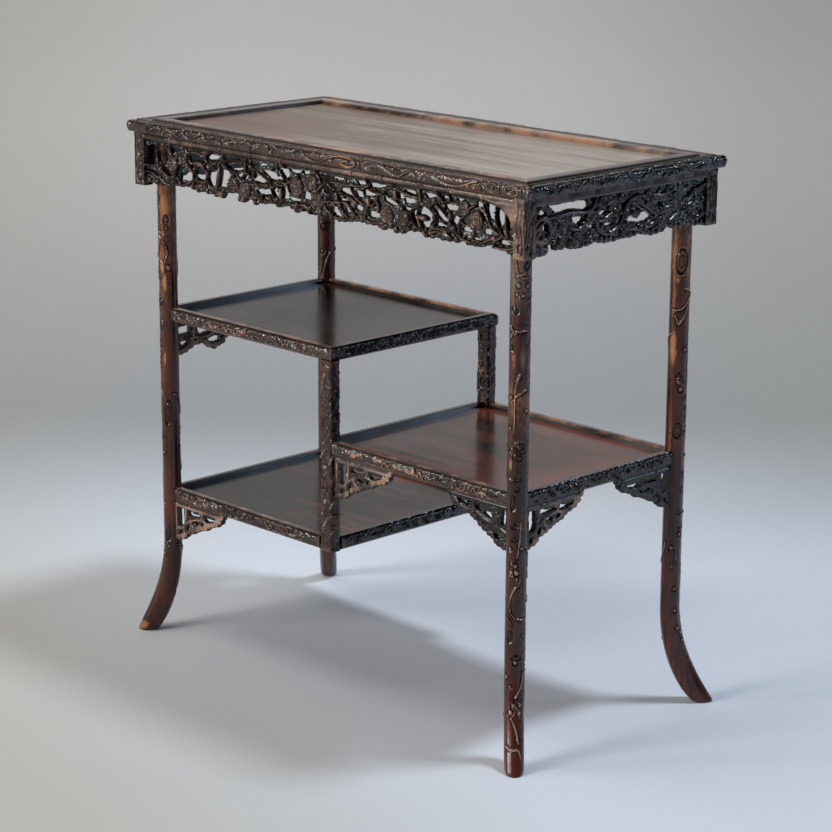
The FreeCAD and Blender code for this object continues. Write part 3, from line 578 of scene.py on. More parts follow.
longApron = {
    "half": 400.0,
    "tall": 79.0,
    "face": 193.0,
    "top": 781.0,
    "cell": 1.12,
    "relief": 5.6,
    "thick": 17.0,
    "tracery": 9.5,
    "band": 11.5,
    "block": 21.0,
    "blockBack": 4.0,
    "lean": 6.5,
    "stemWidths": (3.8, 5.4),
    "stemProud": (0.55, 0.92),
    "tendrils": 60,
    "looseBuds": 110,
    "veined": 0.6,  # the share of stems with a second, finer one on them
    "leafHalf": 4.2,
    "lobes": (12.0, 3),
    "seed": 11,
    "caneMiddle": 5.3,
    "caneRadius": 5.4,
    "fillet": [(0.79, 0.12), (0.84, 0.18), (0.88, 0.23), (0.915, 0.34), (0.937, 0.55), (0.953, 0.76),
               (0.96, 0.76), (0.96, 0.08), (0.79, 0.06)],
    "knots": [-322, -270, -207, -140, -75, 4, 70, 130, 208, 265, 320],
    "stems": [
        [(-0.95, 0.6), (-0.9, 0.6), (-0.86, 0.55), (-0.83, 0.5), (-0.79, 0.42)],
        [(-0.875, 0.12), (-0.88, 0.34), (-0.865, 0.56)],
        [(-0.95, 0.73), (-0.91, 0.72), (-0.87, 0.84), (-0.83, 0.9), (-0.78, 0.86)],
        [(-0.87, 0.57), (-0.84, 0.7), (-0.79, 0.79), (-0.75, 0.89), (-0.7, 0.83), (-0.67, 0.75),
         (-0.665, 0.6), (-0.645, 0.47), (-0.6, 0.39)],
        [(-0.75, 0.44), (-0.77, 0.6), (-0.785, 0.79)],
        [(-0.8, 0.12), (-0.8, 0.28), (-0.775, 0.42)],
        [(-0.72, 0.28), (-0.655, 0.19), (-0.6, 0.27), (-0.585, 0.36), (-0.575, 0.38)],
        [(-0.6, 0.27), (-0.585, 0.2), (-0.57, 0.1)],
        [(-0.71, 0.4), (-0.69, 0.5), (-0.665, 0.6), (-0.665, 0.72), (-0.62, 0.74), (-0.6, 0.72),
         (-0.595, 0.64)],
        [(-0.5, 0.1), (-0.505, 0.28), (-0.54, 0.39), (-0.58, 0.46), (-0.595, 0.66), (-0.57, 0.82),
         (-0.53, 0.86), (-0.49, 0.83), (-0.44, 0.74)],
        [(-0.575, 0.38), (-0.56, 0.4), (-0.54, 0.39)],
        [(-0.5, 0.33), (-0.45, 0.44), (-0.43, 0.58)],
        [(-0.5, 0.33), (-0.46, 0.24), (-0.4, 0.22), (-0.34, 0.26), (-0.3, 0.37), (-0.26, 0.47),
         (-0.21, 0.54)],
        [(-0.4, 0.55), (-0.38, 0.42), (-0.34, 0.34), (-0.32, 0.3), (-0.3, 0.37)],
        [(-0.37, 0.62), (-0.29, 0.58), (-0.21, 0.54), (-0.165, 0.49), (-0.125, 0.4)],
        [(-0.245, 0.55), (-0.235, 0.7), (-0.205, 0.84), (-0.13, 0.83), (-0.04, 0.76)],
        [(-0.42, 0.75), (-0.35, 0.84), (-0.29, 0.82), (-0.25, 0.87), (-0.205, 0.84)],
        [(-0.205, 0.12), (-0.21, 0.24), (-0.185, 0.32), (-0.165, 0.42), (-0.165, 0.49)],
        [(-0.02, 0.34), (0.03, 0.36), (0.06, 0.31), (0.1, 0.29), (0.15, 0.31), (0.19, 0.29), (0.24, 0.27)],
        [(0.055, 0.32), (0.085, 0.42), (0.14, 0.48), (0.17, 0.5), (0.205, 0.58)],
        [(0.17, 0.3), (0.19, 0.46), (0.24, 0.61), (0.29, 0.58), (0.31, 0.4)],
        [(0.04, 0.7), (0.06, 0.84), (0.11, 0.93), (0.15, 0.92), (0.19, 0.84), (0.23, 0.78), (0.25, 0.61)],
        [(0.105, 0.45), (0.115, 0.68), (0.16, 0.87)],
        [(0.04, 0.66), (0.1, 0.64), (0.145, 0.6), (0.17, 0.66), (0.2, 0.8)],
        [(0.23, 0.8), (0.28, 0.9), (0.34, 0.84)],
        [(0.24, 0.1), (0.26, 0.22), (0.24, 0.27), (0.28, 0.34), (0.33, 0.33), (0.4, 0.42), (0.44, 0.58)],
        [(0.33, 0.33), (0.37, 0.18), (0.44, 0.26), (0.48, 0.3), (0.51, 0.29)],
        [(0.505, 0.1), (0.515, 0.25), (0.515, 0.39), (0.495, 0.56), (0.515, 0.75), (0.53, 0.86), (0.55, 0.9)],
        [(0.51, 0.44), (0.465, 0.52), (0.475, 0.68), (0.49, 0.8), (0.52, 0.84)],
        [(0.52, 0.38), (0.57, 0.44), (0.59, 0.56), (0.58, 0.7), (0.55, 0.9), (0.6, 0.77), (0.68, 0.75)],
        [(0.56, 0.42), (0.58, 0.32), (0.61, 0.31), (0.65, 0.28), (0.7, 0.28)],
        [(0.59, 0.36), (0.64, 0.52), (0.68, 0.73), (0.7, 0.85), (0.74, 0.88), (0.79, 0.89), (0.85, 0.74),
         (0.87, 0.72), (0.89, 0.66)],
        [(0.72, 0.44), (0.695, 0.6), (0.7, 0.82)],
        [(0.64, 0.12), (0.655, 0.2), (0.65, 0.28)],
        [(0.8, 0.12), (0.815, 0.32), (0.83, 0.5), (0.865, 0.66), (0.96, 0.76)],
        [(0.87, 0.1), (0.855, 0.4), (0.89, 0.66)],
        [(0.91, 0.12), (0.905, 0.4), (0.915, 0.68)],
        [(0.85, 0.88), (0.9, 0.9), (0.95, 0.84)],
        [(0.89, 0.7), (0.86, 0.78), (0.85, 0.88)],
    ],
    "blossoms": [(-0.785, 0.49, 13.5), (-0.725, 0.32, 12.0), (-0.44, 0.67, 13.5), (-0.375, 0.72, 13.5),
                 (-0.1, 0.49, 15.0), (-0.02, 0.36, 12.5), (0.01, 0.68, 13.5), (0.355, 0.68, 14.5),
                 (0.435, 0.68, 12.5), (0.72, 0.32, 12.0), (0.775, 0.5, 14.5)],
    "leaves": [
        ((-0.66, 0.38), (-0.6, 0.44)), ((-0.515, 0.33), (-0.535, 0.82)), ((-0.66, 0.84), (-0.61, 0.8)),
        ((-0.185, 0.54), (-0.185, 0.76)), ((-0.1, 0.76), (-0.11, 0.96)), ((-0.53, 0.84), (-0.5, 0.95)),
        ((0.255, 0.42), (0.27, 0.6)), ((0.39, 0.2), (0.4, 0.42)), ((0.5, 0.6), (0.55, 0.64)),
        ((0.6, 0.8), (0.67, 0.88)), ((0.655, 0.42), (0.655, 0.58)), ((-0.375, 0.84), (-0.4, 0.96)),
    ],
    "openings": [
        [(-0.925, 0.24), (-0.88, 0.19), (-0.88, 0.37), (-0.893, 0.54), (-0.92, 0.58), (-0.933, 0.42)],
        [(-0.865, 0.19), (-0.83, 0.19), (-0.82, 0.33), (-0.825, 0.46), (-0.85, 0.51), (-0.868, 0.42)],
        [(-0.945, 0.68), (-0.9, 0.68), (-0.875, 0.75), (-0.88, 0.8), (-0.945, 0.76)],
        [(-0.845, 0.57), (-0.805, 0.63), (-0.77, 0.63), (-0.765, 0.7), (-0.795, 0.73), (-0.825, 0.68)],
        [(-0.758, 0.52), (-0.733, 0.48), (-0.713, 0.53), (-0.738, 0.62), (-0.758, 0.75), (-0.77, 0.66)],
        [(-0.725, 0.65), (-0.7, 0.57), (-0.68, 0.6), (-0.675, 0.67), (-0.69, 0.77), (-0.728, 0.77)],
        [(-0.81, 0.19), (-0.76, 0.19), (-0.758, 0.25), (-0.785, 0.3)],
        [(-0.68, 0.21), (-0.62, 0.27), (-0.612, 0.37), (-0.645, 0.41), (-0.675, 0.37)],
        [(-0.59, 0.19), (-0.52, 0.19), (-0.525, 0.28), (-0.555, 0.31), (-0.58, 0.27)],
        [(-0.705, 0.44), (-0.67, 0.45), (-0.662, 0.49), (-0.675, 0.54), (-0.69, 0.52)],
        [(-0.65, 0.53), (-0.615, 0.46), (-0.61, 0.54), (-0.6, 0.64), (-0.613, 0.7), (-0.64, 0.67)],
        [(-0.578, 0.64), (-0.568, 0.52), (-0.543, 0.46), (-0.537, 0.54), (-0.545, 0.74), (-0.56, 0.79)],
        [(-0.5, 0.4), (-0.475, 0.44), (-0.46, 0.52), (-0.482, 0.62), (-0.485, 0.75), (-0.508, 0.76),
         (-0.516, 0.58)],
        [(-0.48, 0.19), (-0.43, 0.18), (-0.45, 0.23), (-0.48, 0.25)],
        [(-0.465, 0.33), (-0.415, 0.27), (-0.39, 0.28), (-0.39, 0.35), (-0.415, 0.4), (-0.44, 0.4)],
        [(-0.415, 0.49), (-0.395, 0.44), (-0.36, 0.43), (-0.365, 0.51), (-0.392, 0.55)],
        [(-0.325, 0.53), (-0.303, 0.41), (-0.27, 0.47), (-0.275, 0.54)],
        [(-0.275, 0.31), (-0.24, 0.29), (-0.213, 0.32), (-0.205, 0.42), (-0.225, 0.45)],
        [(-0.34, 0.19), (-0.26, 0.19), (-0.27, 0.23), (-0.33, 0.25)],
        [(-0.305, 0.69), (-0.245, 0.62), (-0.232, 0.66), (-0.24, 0.72), (-0.288, 0.75)],
        [(-0.187, 0.21), (-0.15, 0.21), (-0.138, 0.29), (-0.16, 0.4), (-0.187, 0.43)],
        [(-0.218, 0.61), (-0.202, 0.6), (-0.202, 0.7), (-0.206, 0.77), (-0.216, 0.73)],
        [(-0.165, 0.57), (-0.148, 0.56), (-0.145, 0.68), (-0.153, 0.76), (-0.17, 0.75)],
        [(-0.132, 0.7), (-0.085, 0.7), (-0.09, 0.75), (-0.128, 0.76)],
        [(-0.13, 0.19), (-0.08, 0.19), (-0.085, 0.24), (-0.12, 0.26)],
        [(-0.06, 0.19), (-0.035, 0.18), (-0.035, 0.21), (-0.05, 0.26)],
        [(-0.053, 0.56), (-0.035, 0.55), (-0.028, 0.64), (-0.037, 0.7), (-0.055, 0.68)],
        [(0.02, 0.19), (0.09, 0.19), (0.09, 0.24), (0.05, 0.28), (0.025, 0.27)],
        [(0.055, 0.38), (0.085, 0.4), (0.085, 0.48), (0.062, 0.51), (0.048, 0.46)],
        [(0.055, 0.57), (0.085, 0.56), (0.09, 0.62), (0.062, 0.62)],
        [(0.077, 0.73), (0.1, 0.71), (0.118, 0.8), (0.13, 0.87), (0.11, 0.88), (0.09, 0.83)],
        [(0.11, 0.19), (0.155, 0.19), (0.155, 0.23), (0.11, 0.24)],
        [(0.132, 0.4), (0.155, 0.36), (0.185, 0.38), (0.198, 0.47), (0.185, 0.51), (0.16, 0.47)],
        [(0.122, 0.54), (0.16, 0.56), (0.175, 0.62), (0.15, 0.66), (0.127, 0.62)],
        [(0.165, 0.71), (0.192, 0.69), (0.188, 0.77), (0.162, 0.78)],
        [(0.213, 0.6), (0.235, 0.64), (0.228, 0.71), (0.21, 0.69)],
        [(0.21, 0.19), (0.245, 0.18), (0.245, 0.24), (0.225, 0.25)],
        [(0.25, 0.33), (0.3, 0.31), (0.295, 0.39), (0.255, 0.43)],
        [(0.208, 0.37), (0.23, 0.36), (0.233, 0.45), (0.222, 0.49)],
        [(0.272, 0.71), (0.29, 0.67), (0.315, 0.69), (0.315, 0.77), (0.28, 0.78)],
        [(0.265, 0.54), (0.305, 0.51), (0.315, 0.57), (0.28, 0.6)],
        [(0.28, 0.18), (0.345, 0.18), (0.335, 0.23), (0.29, 0.26)],
        [(0.35, 0.38), (0.38, 0.41), (0.41, 0.48), (0.39, 0.5), (0.355, 0.46)],
        [(0.42, 0.25), (0.432, 0.32), (0.425, 0.37), (0.41, 0.35)],
        [(0.45, 0.19), (0.49, 0.19), (0.49, 0.25), (0.455, 0.25)],
        [(0.445, 0.33), (0.493, 0.33), (0.493, 0.39), (0.452, 0.43)],
        [(0.45, 0.49), (0.472, 0.5), (0.462, 0.56), (0.452, 0.54)],
        [(0.485, 0.52), (0.497, 0.48), (0.492, 0.62), (0.5, 0.76), (0.487, 0.76), (0.48, 0.65)],
        [(0.53, 0.43), (0.553, 0.47), (0.568, 0.54), (0.568, 0.65), (0.553, 0.76), (0.537, 0.79),
         (0.522, 0.7), (0.518, 0.54)],
        [(0.545, 0.19), (0.58, 0.18), (0.592, 0.24), (0.56, 0.28)],
        [(0.597, 0.43), (0.62, 0.48), (0.648, 0.6), (0.633, 0.62), (0.605, 0.53)],
        [(0.63, 0.18), (0.66, 0.18), (0.66, 0.22), (0.635, 0.23)],
        [(0.638, 0.32), (0.69, 0.31), (0.685, 0.39), (0.65, 0.41)],
        [(0.59, 0.63), (0.625, 0.67), (0.642, 0.71), (0.6, 0.71)],
        [(0.67, 0.48), (0.7, 0.5), (0.688, 0.58), (0.678, 0.66), (0.665, 0.58)],
        [(0.722, 0.68), (0.738, 0.62), (0.757, 0.66), (0.757, 0.71), (0.725, 0.72)],
        [(0.7, 0.77), (0.72, 0.78), (0.75, 0.78), (0.745, 0.84), (0.717, 0.83)],
        [(0.695, 0.18), (0.72, 0.18), (0.72, 0.22), (0.7, 0.23)],
        [(0.785, 0.18), (0.815, 0.19), (0.807, 0.26), (0.788, 0.26)],
        [(0.808, 0.34), (0.823, 0.35), (0.823, 0.46), (0.814, 0.5)],
        [(0.835, 0.18), (0.862, 0.18), (0.855, 0.36), (0.848, 0.45), (0.835, 0.4)],
        [(0.882, 0.18), (0.903, 0.18), (0.9, 0.4), (0.895, 0.52), (0.88, 0.46), (0.867, 0.36)],
        [(0.822, 0.62), (0.832, 0.59), (0.843, 0.63), (0.833, 0.71), (0.82, 0.69)],
        [(0.772, 0.78), (0.8, 0.79), (0.79, 0.83), (0.772, 0.82)],
        [(0.872, 0.57), (0.892, 0.58), (0.892, 0.62), (0.868, 0.61)],
        [(0.918, 0.19), (0.93, 0.3), (0.94, 0.4), (0.935, 0.52), (0.922, 0.58), (0.918, 0.4)],
        [(0.875, 0.69), (0.905, 0.74), (0.928, 0.79), (0.9, 0.82), (0.878, 0.77)],
    ],
    "edge": [(-0.93, 0.9), (-0.87, 0.95), (-0.8, 0.9), (-0.74, 0.89), (-0.69, 0.86), (-0.655, 0.92),
             (-0.6, 0.91), (-0.58, 0.94), (-0.545, 0.89), (-0.54, 0.94), (-0.51, 0.93), (-0.49, 0.85),
             (-0.42, 0.81), (-0.41, 0.95), (-0.375, 0.92), (-0.355, 0.87), (-0.33, 0.92), (-0.26, 0.9),
             (-0.22, 0.85), (-0.205, 0.93), (-0.15, 0.86), (-0.105, 0.95), (-0.07, 0.9), (-0.05, 0.8),
             (-0.037, 0.95), (0.01, 0.92), (0.06, 0.9), (0.11, 0.96), (0.15, 0.93), (0.22, 0.89),
             (0.27, 0.91), (0.31, 0.89), (0.325, 0.96), (0.38, 0.89), (0.395, 0.96), (0.43, 0.95),
             (0.455, 0.88), (0.515, 0.87), (0.53, 0.95), (0.57, 0.91), (0.595, 0.89), (0.61, 0.94),
             (0.66, 0.91), (0.675, 0.93), (0.71, 0.88), (0.745, 0.93), (0.79, 0.93), (0.825, 0.86),
             (0.865, 0.78), (0.865, 0.88), (0.91, 0.92), (0.93, 0.98)],
}


def somewhere(draws, across, down, scale):
    return np.array([draws.uniform(*across), draws.uniform(*down)]) * scale


def runOf(line):
    # how far along a line each of its places lies
    return np.concatenate([[0], np.cumsum(np.hypot(*np.diff(line, axis=0).T))])


def groundOf(board, apron, openings, scale):
    # what is left of a board round its openings, which reach further than what is seen through them
    half, lean = apron["half"], apron["lean"]
    away = np.full(len(board.points), boards["far"])
    for corners in openings:
        outline = np.array(corners) * scale
        chosen = board.around(outline, abs(lean) + boards["margin"])
        for reach in (0, lean / 2, lean):
            seen = edgeDistance(board.points[chosen] + (reach, 0), outline)
            away[chosen] = np.minimum(away[chosen], seen)
    foot = (half - apron["block"]) / half
    outline = [(-1, -0.1), (-1, 1), (-foot, 1), *apron["edge"], (foot, 1), (1, 1), (1, -0.1)]
    return np.minimum(away, -edgeDistance(board.points, np.array(outline) * scale))


def lobeBuds(board, edge, scale, gap, seed):
    # small buds in a row along the lower edge
    line = np.array(edge) * scale
    run = runOf(line)
    draws = np.random.default_rng(seed)
    for place in np.arange(gap / 2, run[-1], gap):
        place += draws.uniform(-0.2, 0.2) * gap
        radius = draws.uniform(3.4, 5.4)
        u, v = np.interp(place, run, line[:, 0]), np.interp(place, run, line[:, 1])
        board.bud((u, min(v, scale[1] - 1.0) - radius * 0.8), radius, draws.uniform(2.6, 4.6),
                  draws.uniform(1.0, 1.35), draws.uniform(0, math.pi))


def drawLongApron(points):
    apron = longApron
    relief = apron["relief"]
    scale = np.array([apron["half"], apron["tall"]])
    board = Carving(points)
    ground = groundOf(board, apron, apron["openings"], scale)
    ground += 0.7 * lattice(points, 3.1, 5)
    lumps = 0.8 + 0.8 * lattice(points, 5.2, 7) + 0.5 * lattice(points, 2.6, 8)
    board.raiseAll(ground, np.clip(lumps, 0.1, 2.4))
    draws = np.random.default_rng(apron["seed"])
    lobeBuds(board, apron["edge"], scale, *apron["lobes"])
    for stem in apron["stems"]:
        line = softened(np.array(stem) * scale)
        board.stem(line, draws.uniform(*apron["stemWidths"]), relief * draws.uniform(*apron["stemProud"]),
                   foot=0.6, moat=0.6)
        if draws.uniform() < apron["veined"]:
            board.ridge(line + (0.5, -0.5), 2.5, relief * draws.uniform(0.88, 1.0))
    for _ in range(apron["tendrils"]):
        start = somewhere(draws, (-0.9, 0.9), (0.25, 0.9), scale)
        line = curl(start, draws.uniform(0, 6.3), draws.uniform(22, 44), draws.uniform(-3, 3), 10)
        board.ridge(line, 3.0, relief * draws.uniform(0.8, 1.0))
    for _ in range(apron["looseBuds"]):
        centre = somewhere(draws, (-0.93, 0.93), (0.2, 0.92), scale)
        radius = draws.uniform(2.2, 4.2)
        if board.depthAt(centre) > 0.5:
            board.bud(centre, radius, draws.uniform(2.5, 4.6), draws.uniform(1.0, 1.5), draws.uniform(0, 3))
    for start, end in apron["leaves"]:
        run = (np.array(end) - start) * scale
        board.bud((np.array(start) + end) / 2 * scale, apron["leafHalf"], relief * 0.9,
                  np.hypot(*run) / (2 * apron["leafHalf"]), math.atan2(run[1], run[0]))
    for along, down, radius in apron["blossoms"]:
        board.blossom(np.array((along, down)) * scale, radius * 0.9, relief, draws.uniform(0, 6))
    drawCane(board, apron)
    corner = -edgeDistance(points, np.array(apron["fillet"]) * scale)
    board.raiseAll(corner, relief * 0.86 * np.sqrt(np.clip(corner / 4, 0, 1)))
    blockFace(board, apron)
    return board


def drawCane(board, apron):
    # the cane that runs along the top, with a swelling and two cuts at each of its knots
    u, v = board.points.T
    middle = apron["caneMiddle"]
    across = (v - middle) / (apron["caneRadius"] + 0.25 * lattice(board.points, 14.0, 3))
    bulge = sum(np.exp(-(((u - place) / 4.5) ** 4)) for place in apron["knots"])
    cane = 0.78 * apron["relief"] * np.sqrt(np.clip(1 - across ** 2, 0, 1))
    rise = np.where(v < apron["band"], np.maximum(cane + 0.9 * bulge, 1.6), 0)
    rise += np.where(v < apron["band"], 0.35 * lattice(board.points, 2.4, 9) * (0.4 + bulge), 0)
    board.raiseAll(apron["band"] - v, rise)
    for place in apron["knots"]:
        for shift in (-4.6, 4.6):
            bar = [(place + shift, 0.0), (place + shift * 0.86, middle), (place + shift, 12.0)]
            board.groove(np.array(bar), 0.8, 0.9)


def blockFace(board, apron):
    # the square ends of the board: nearly flat, with an ear of grooves towards the tracery
    tall, width, relief = apron["tall"], apron["block"], apron["relief"]
    start = apron["half"] - width
    u, v = board.points.T
    inner = np.abs(u) - start
    board.raiseAll(np.minimum(inner + 1.2, tall + 1 - v), relief - 0.7)
    flat = inner > 0
    board.height[flat] = relief - 0.9 + 0.4 * lattice(board.points[flat], 5.0, 4)
    cuts = [(width - 2, 5, tall - 20), (width * 0.62, 16, tall - 4), (width * 0.3, 3, tall - 26),
            (width * 0.44, tall - 30, tall - 3)]
    for side in (-1, 1):
        for inset, upper, lower in cuts:
            down = np.linspace(upper, lower, 14)
            across = side * (start + inset + 1.6 * np.sin(down / 8 + inset))
            board.groove(np.stack([across, down], axis=1), 0.8, 1.1)
        board.knot((side * (apron["half"] - width * 0.45), tall - 13), 6.5, 4.2, 1.2, 1.5)
        board.bud((side * (apron["half"] - width * 0.8), tall - 5), 3.4, relief - 0.3, 1.3, 0.7)
    for side, down, radii in ((-1, 0.42, (9.0, 5.5, 2.6)), (1, 0.8, (7.0, 4.2))):
        for radius in radii:
            sweep = np.linspace(-1.35, 1.35, 12) + (math.pi if side < 0 else 0)
            ear = np.stack([side * (start - 1) + radius * np.cos(sweep),
                            tall * down + 1.25 * radius * np.sin(sweep)], axis=1)
            board.groove(ear, 0.9, 1.2)


def apronBack(apron):
    # the ends and the top band go through to the full thickness, the tracery is thinner, and the
    # ends are mitred
    def placed(places):
        x, z = places[:, 0], places[:, 2]
        half, block = apron["half"], apron["block"]
        inner = np.abs(x) - (half - block)
        thick = (inner > -0.8) | (z > apron["top"] - apron["band"])
        y = np.where(thick, apron["thick"], apron["tracery"]) - apron["face"]
        mitre = np.sign(x) * (half - block + inner * apron["blockBack"] / block)
        return np.stack([np.where(inner > 0, mitre, x), y, z], axis=1)
    return placed


def apronPiece(name, apron, draw):
    half, tall, relief = apron["half"], apron["tall"], apron["relief"]
    return boardPiece(name, ((-half, half), (0, tall)), apron["cell"], relief, draw,
                      lambda points, height: standing(points, relief - height, apron["face"], apron["top"]),
                      apronBack(apron))


def longAprons():
    front = apronPiece("apronFront", longApron, drawLongApron)
    back = copyOf(front, "apronBack", quarterTurn(2))
    finishPiece(front, "carvedLong", "apron_front")
    finishPiece(back, "carvedLong", "apron_back")


# short aprons: a denser board with a ring scroll near one corner

shortApron = {
    "half": 193.0,
    "tall": 79.0,
    "face": 400.0,
    "top": 781.0,
    "cell": 1.0,
    "relief": 5.0,
    "thick": 17.0,
    "tracery": 11.0,
    "band": 13.0,
    "block": 21.0,
    "blockBack": 4.0,
    "lean": -7.0,
    "stemWidths": (4.2, 5.8),
    "stemProud": (0.75, 1.0),
    "looseBuds": 70,
    "lobes": (10.0, 6),
    "seed": 21,
    "ring": (-158.0, 44.0, 16.5),
    "openings": [
        [(-170, 29), (-163, 16), (-154, 24)],
        [(-144, 14), (-80, 14), (-74, 19), (-73, 27), (-92, 24), (-110, 23), (-130, 26)],
        [(-71, 14), (-54, 14), (-54, 20)],
        [(-161, 39), (-150, 36), (-144, 39), (-146, 48), (-155, 44)],
        [(-100, 34), (-82, 36), (-85, 46), (-98, 41)],
        [(-50, 33), (-34, 33), (-44, 40)],
        [(-71, 51), (-62, 48), (-56, 50), (-60, 54)],
        [(-37, 51), (-28, 50), (-23, 52), (-30, 55)],
        [(9, 38), (18, 35), (25, 38), (18, 42)],
        [(2, 51), (12, 47), (27, 54), (39, 43), (56, 53), (39, 58), (20, 55)],
        [(60, 35), (67, 33), (73, 38), (66, 40)],
    ],
    "stems": [
        [(-172, 46), (-160, 36), (-148, 30), (-132, 29), (-112, 27), (-92, 28), (-74, 31), (-62, 26),
         (-54, 14)],
        [(-172, 22), (-160, 14)],
        [(-132, 29), (-124, 38), (-112, 44), (-100, 50), (-88, 52), (-78, 46), (-72, 36)],
        [(-112, 44), (-108, 56), (-98, 64), (-86, 66)],
        [(-78, 46), (-66, 42), (-56, 42), (-46, 46), (-34, 44), (-24, 38), (-12, 36), (0, 42)],
        [(-56, 42), (-52, 54), (-44, 62), (-32, 66), (-18, 62), (-6, 54), (0, 42), (4, 30), (14, 24)],
        [(14, 24), (30, 20), (46, 24), (60, 22), (76, 26), (88, 22), (104, 18)],
        [(30, 20), (34, 32), (48, 38), (58, 46), (70, 50), (84, 48), (98, 40), (112, 36), (128, 38)],
        [(70, 50), (74, 60), (86, 66), (100, 62), (112, 54), (128, 52), (142, 58)],
        [(0, 62), (14, 64), (28, 66), (44, 66), (60, 64), (70, 56)],
        [(128, 38), (140, 30), (152, 24), (168, 20)],
        [(128, 52), (140, 44), (152, 42), (162, 48), (164, 58), (156, 66), (144, 66)],
    ],
    "blossoms": [(-116, 44, 11.0), (-119, 63, 9.0), (-91, 64, 12.0), (-41, 22, 10.0), (4, 66, 10.0),
                 (81, 63, 12.0), (108, 35, 12.5), (-15, 39, 9.0), (50, 24, 9.0), (-66, 64, 9.0),
                 (142, 62, 9.5), (-4, 20, 8.0), (92, 20, 8.0), (36, 66, 8.0)],
    "edge": [(-0.9, 0.98), (-0.84, 0.99), (-0.77, 0.97), (-0.79, 0.88), (-0.71, 0.78), (-0.68, 0.92),
             (-0.61, 0.92), (-0.6, 0.84), (-0.55, 0.84), (-0.53, 0.95), (-0.43, 0.98), (-0.4, 0.93),
             (-0.34, 0.98), (-0.32, 0.9), (-0.22, 0.95), (-0.08, 0.97), (0.00, 0.94), (0.08, 0.95),
             (0.15, 0.94), (0.19, 0.88), (0.22, 0.94), (0.3, 0.97), (0.42, 0.97), (0.45, 0.88), (0.52, 0.89),
             (0.56, 0.95), (0.62, 0.94), (0.65, 0.89), (0.72, 0.96), (0.9, 0.97)],
}


def drawShortApron(points):
    apron = shortApron
    relief = apron["relief"]
    scale = np.array([apron["half"], apron["tall"]])
    board = Carving(points)
    ground = groundOf(board, apron, [np.array(corners) / scale for corners in apron["openings"]], scale)
    ground += 0.5 * lattice(points, 3.0, 15)
    lumps = 1.1 + 1.0 * lattice(points, 5.0, 17) + 0.7 * lattice(points, 2.6, 18)
    board.raiseAll(ground, np.clip(lumps, 0.1, 2.6))
    draws = np.random.default_rng(apron["seed"])
    lobeBuds(board, apron["edge"], scale, *apron["lobes"])
    for stem in apron["stems"]:
        board.stem(softened(stem), draws.uniform(*apron["stemWidths"]),
                   relief * draws.uniform(*apron["stemProud"]), foot=0.6, moat=0.5)
    for _ in range(apron["looseBuds"]):
        centre = somewhere(draws, (-0.88, 0.88), (0.22, 0.92), scale)
        if board.depthAt(centre) > 0.5:
            board.bud(centre, draws.uniform(2.2, 4.4), draws.uniform(2.6, 4.4), draws.uniform(1.0, 1.5),
                      draws.uniform(0, 3))
    u, v, radius = apron["ring"]
    sweep = np.linspace(0.4, 2 * math.pi + 0.1, 40)
    tight = np.linspace(1.0, 0.94, 40)
    ring = np.stack([u + radius * tight * np.cos(sweep), v + radius * tight * np.sin(sweep)], axis=1)
    board.stem(ring, 7.5, relief, foot=1.0)
    board.stem(curl((u + 3, v + 9), 2.6, 26, -3.4), 5.0, relief * 0.8, foot=1.0)
    for along, down, size in apron["blossoms"]:
        board.blossom((along, down), size, relief * 0.98, draws.uniform(0, 6))
    across = points[:, 1]
    band = relief - 0.9 + 0.3 * lattice(points, 9.0, 6) - 1.2 * smooth(across, 10.5, 13)
    board.raiseAll(apron["band"] - across, band)
    blockFace(board, apron)
    return board


def shortAprons():
    right = apronPiece("apronRight", shortApron, drawShortApron)
    left = copyOf(right, "apronLeft", quarterTurn(3))
    right.data.transform(quarterTurn(1))
    finishPiece(right, "carvedShortShaded", "apron_right")
    finishPiece(left, "carvedShortShaded", "apron_left")


# brackets: pierced boards, carved alike on both faces

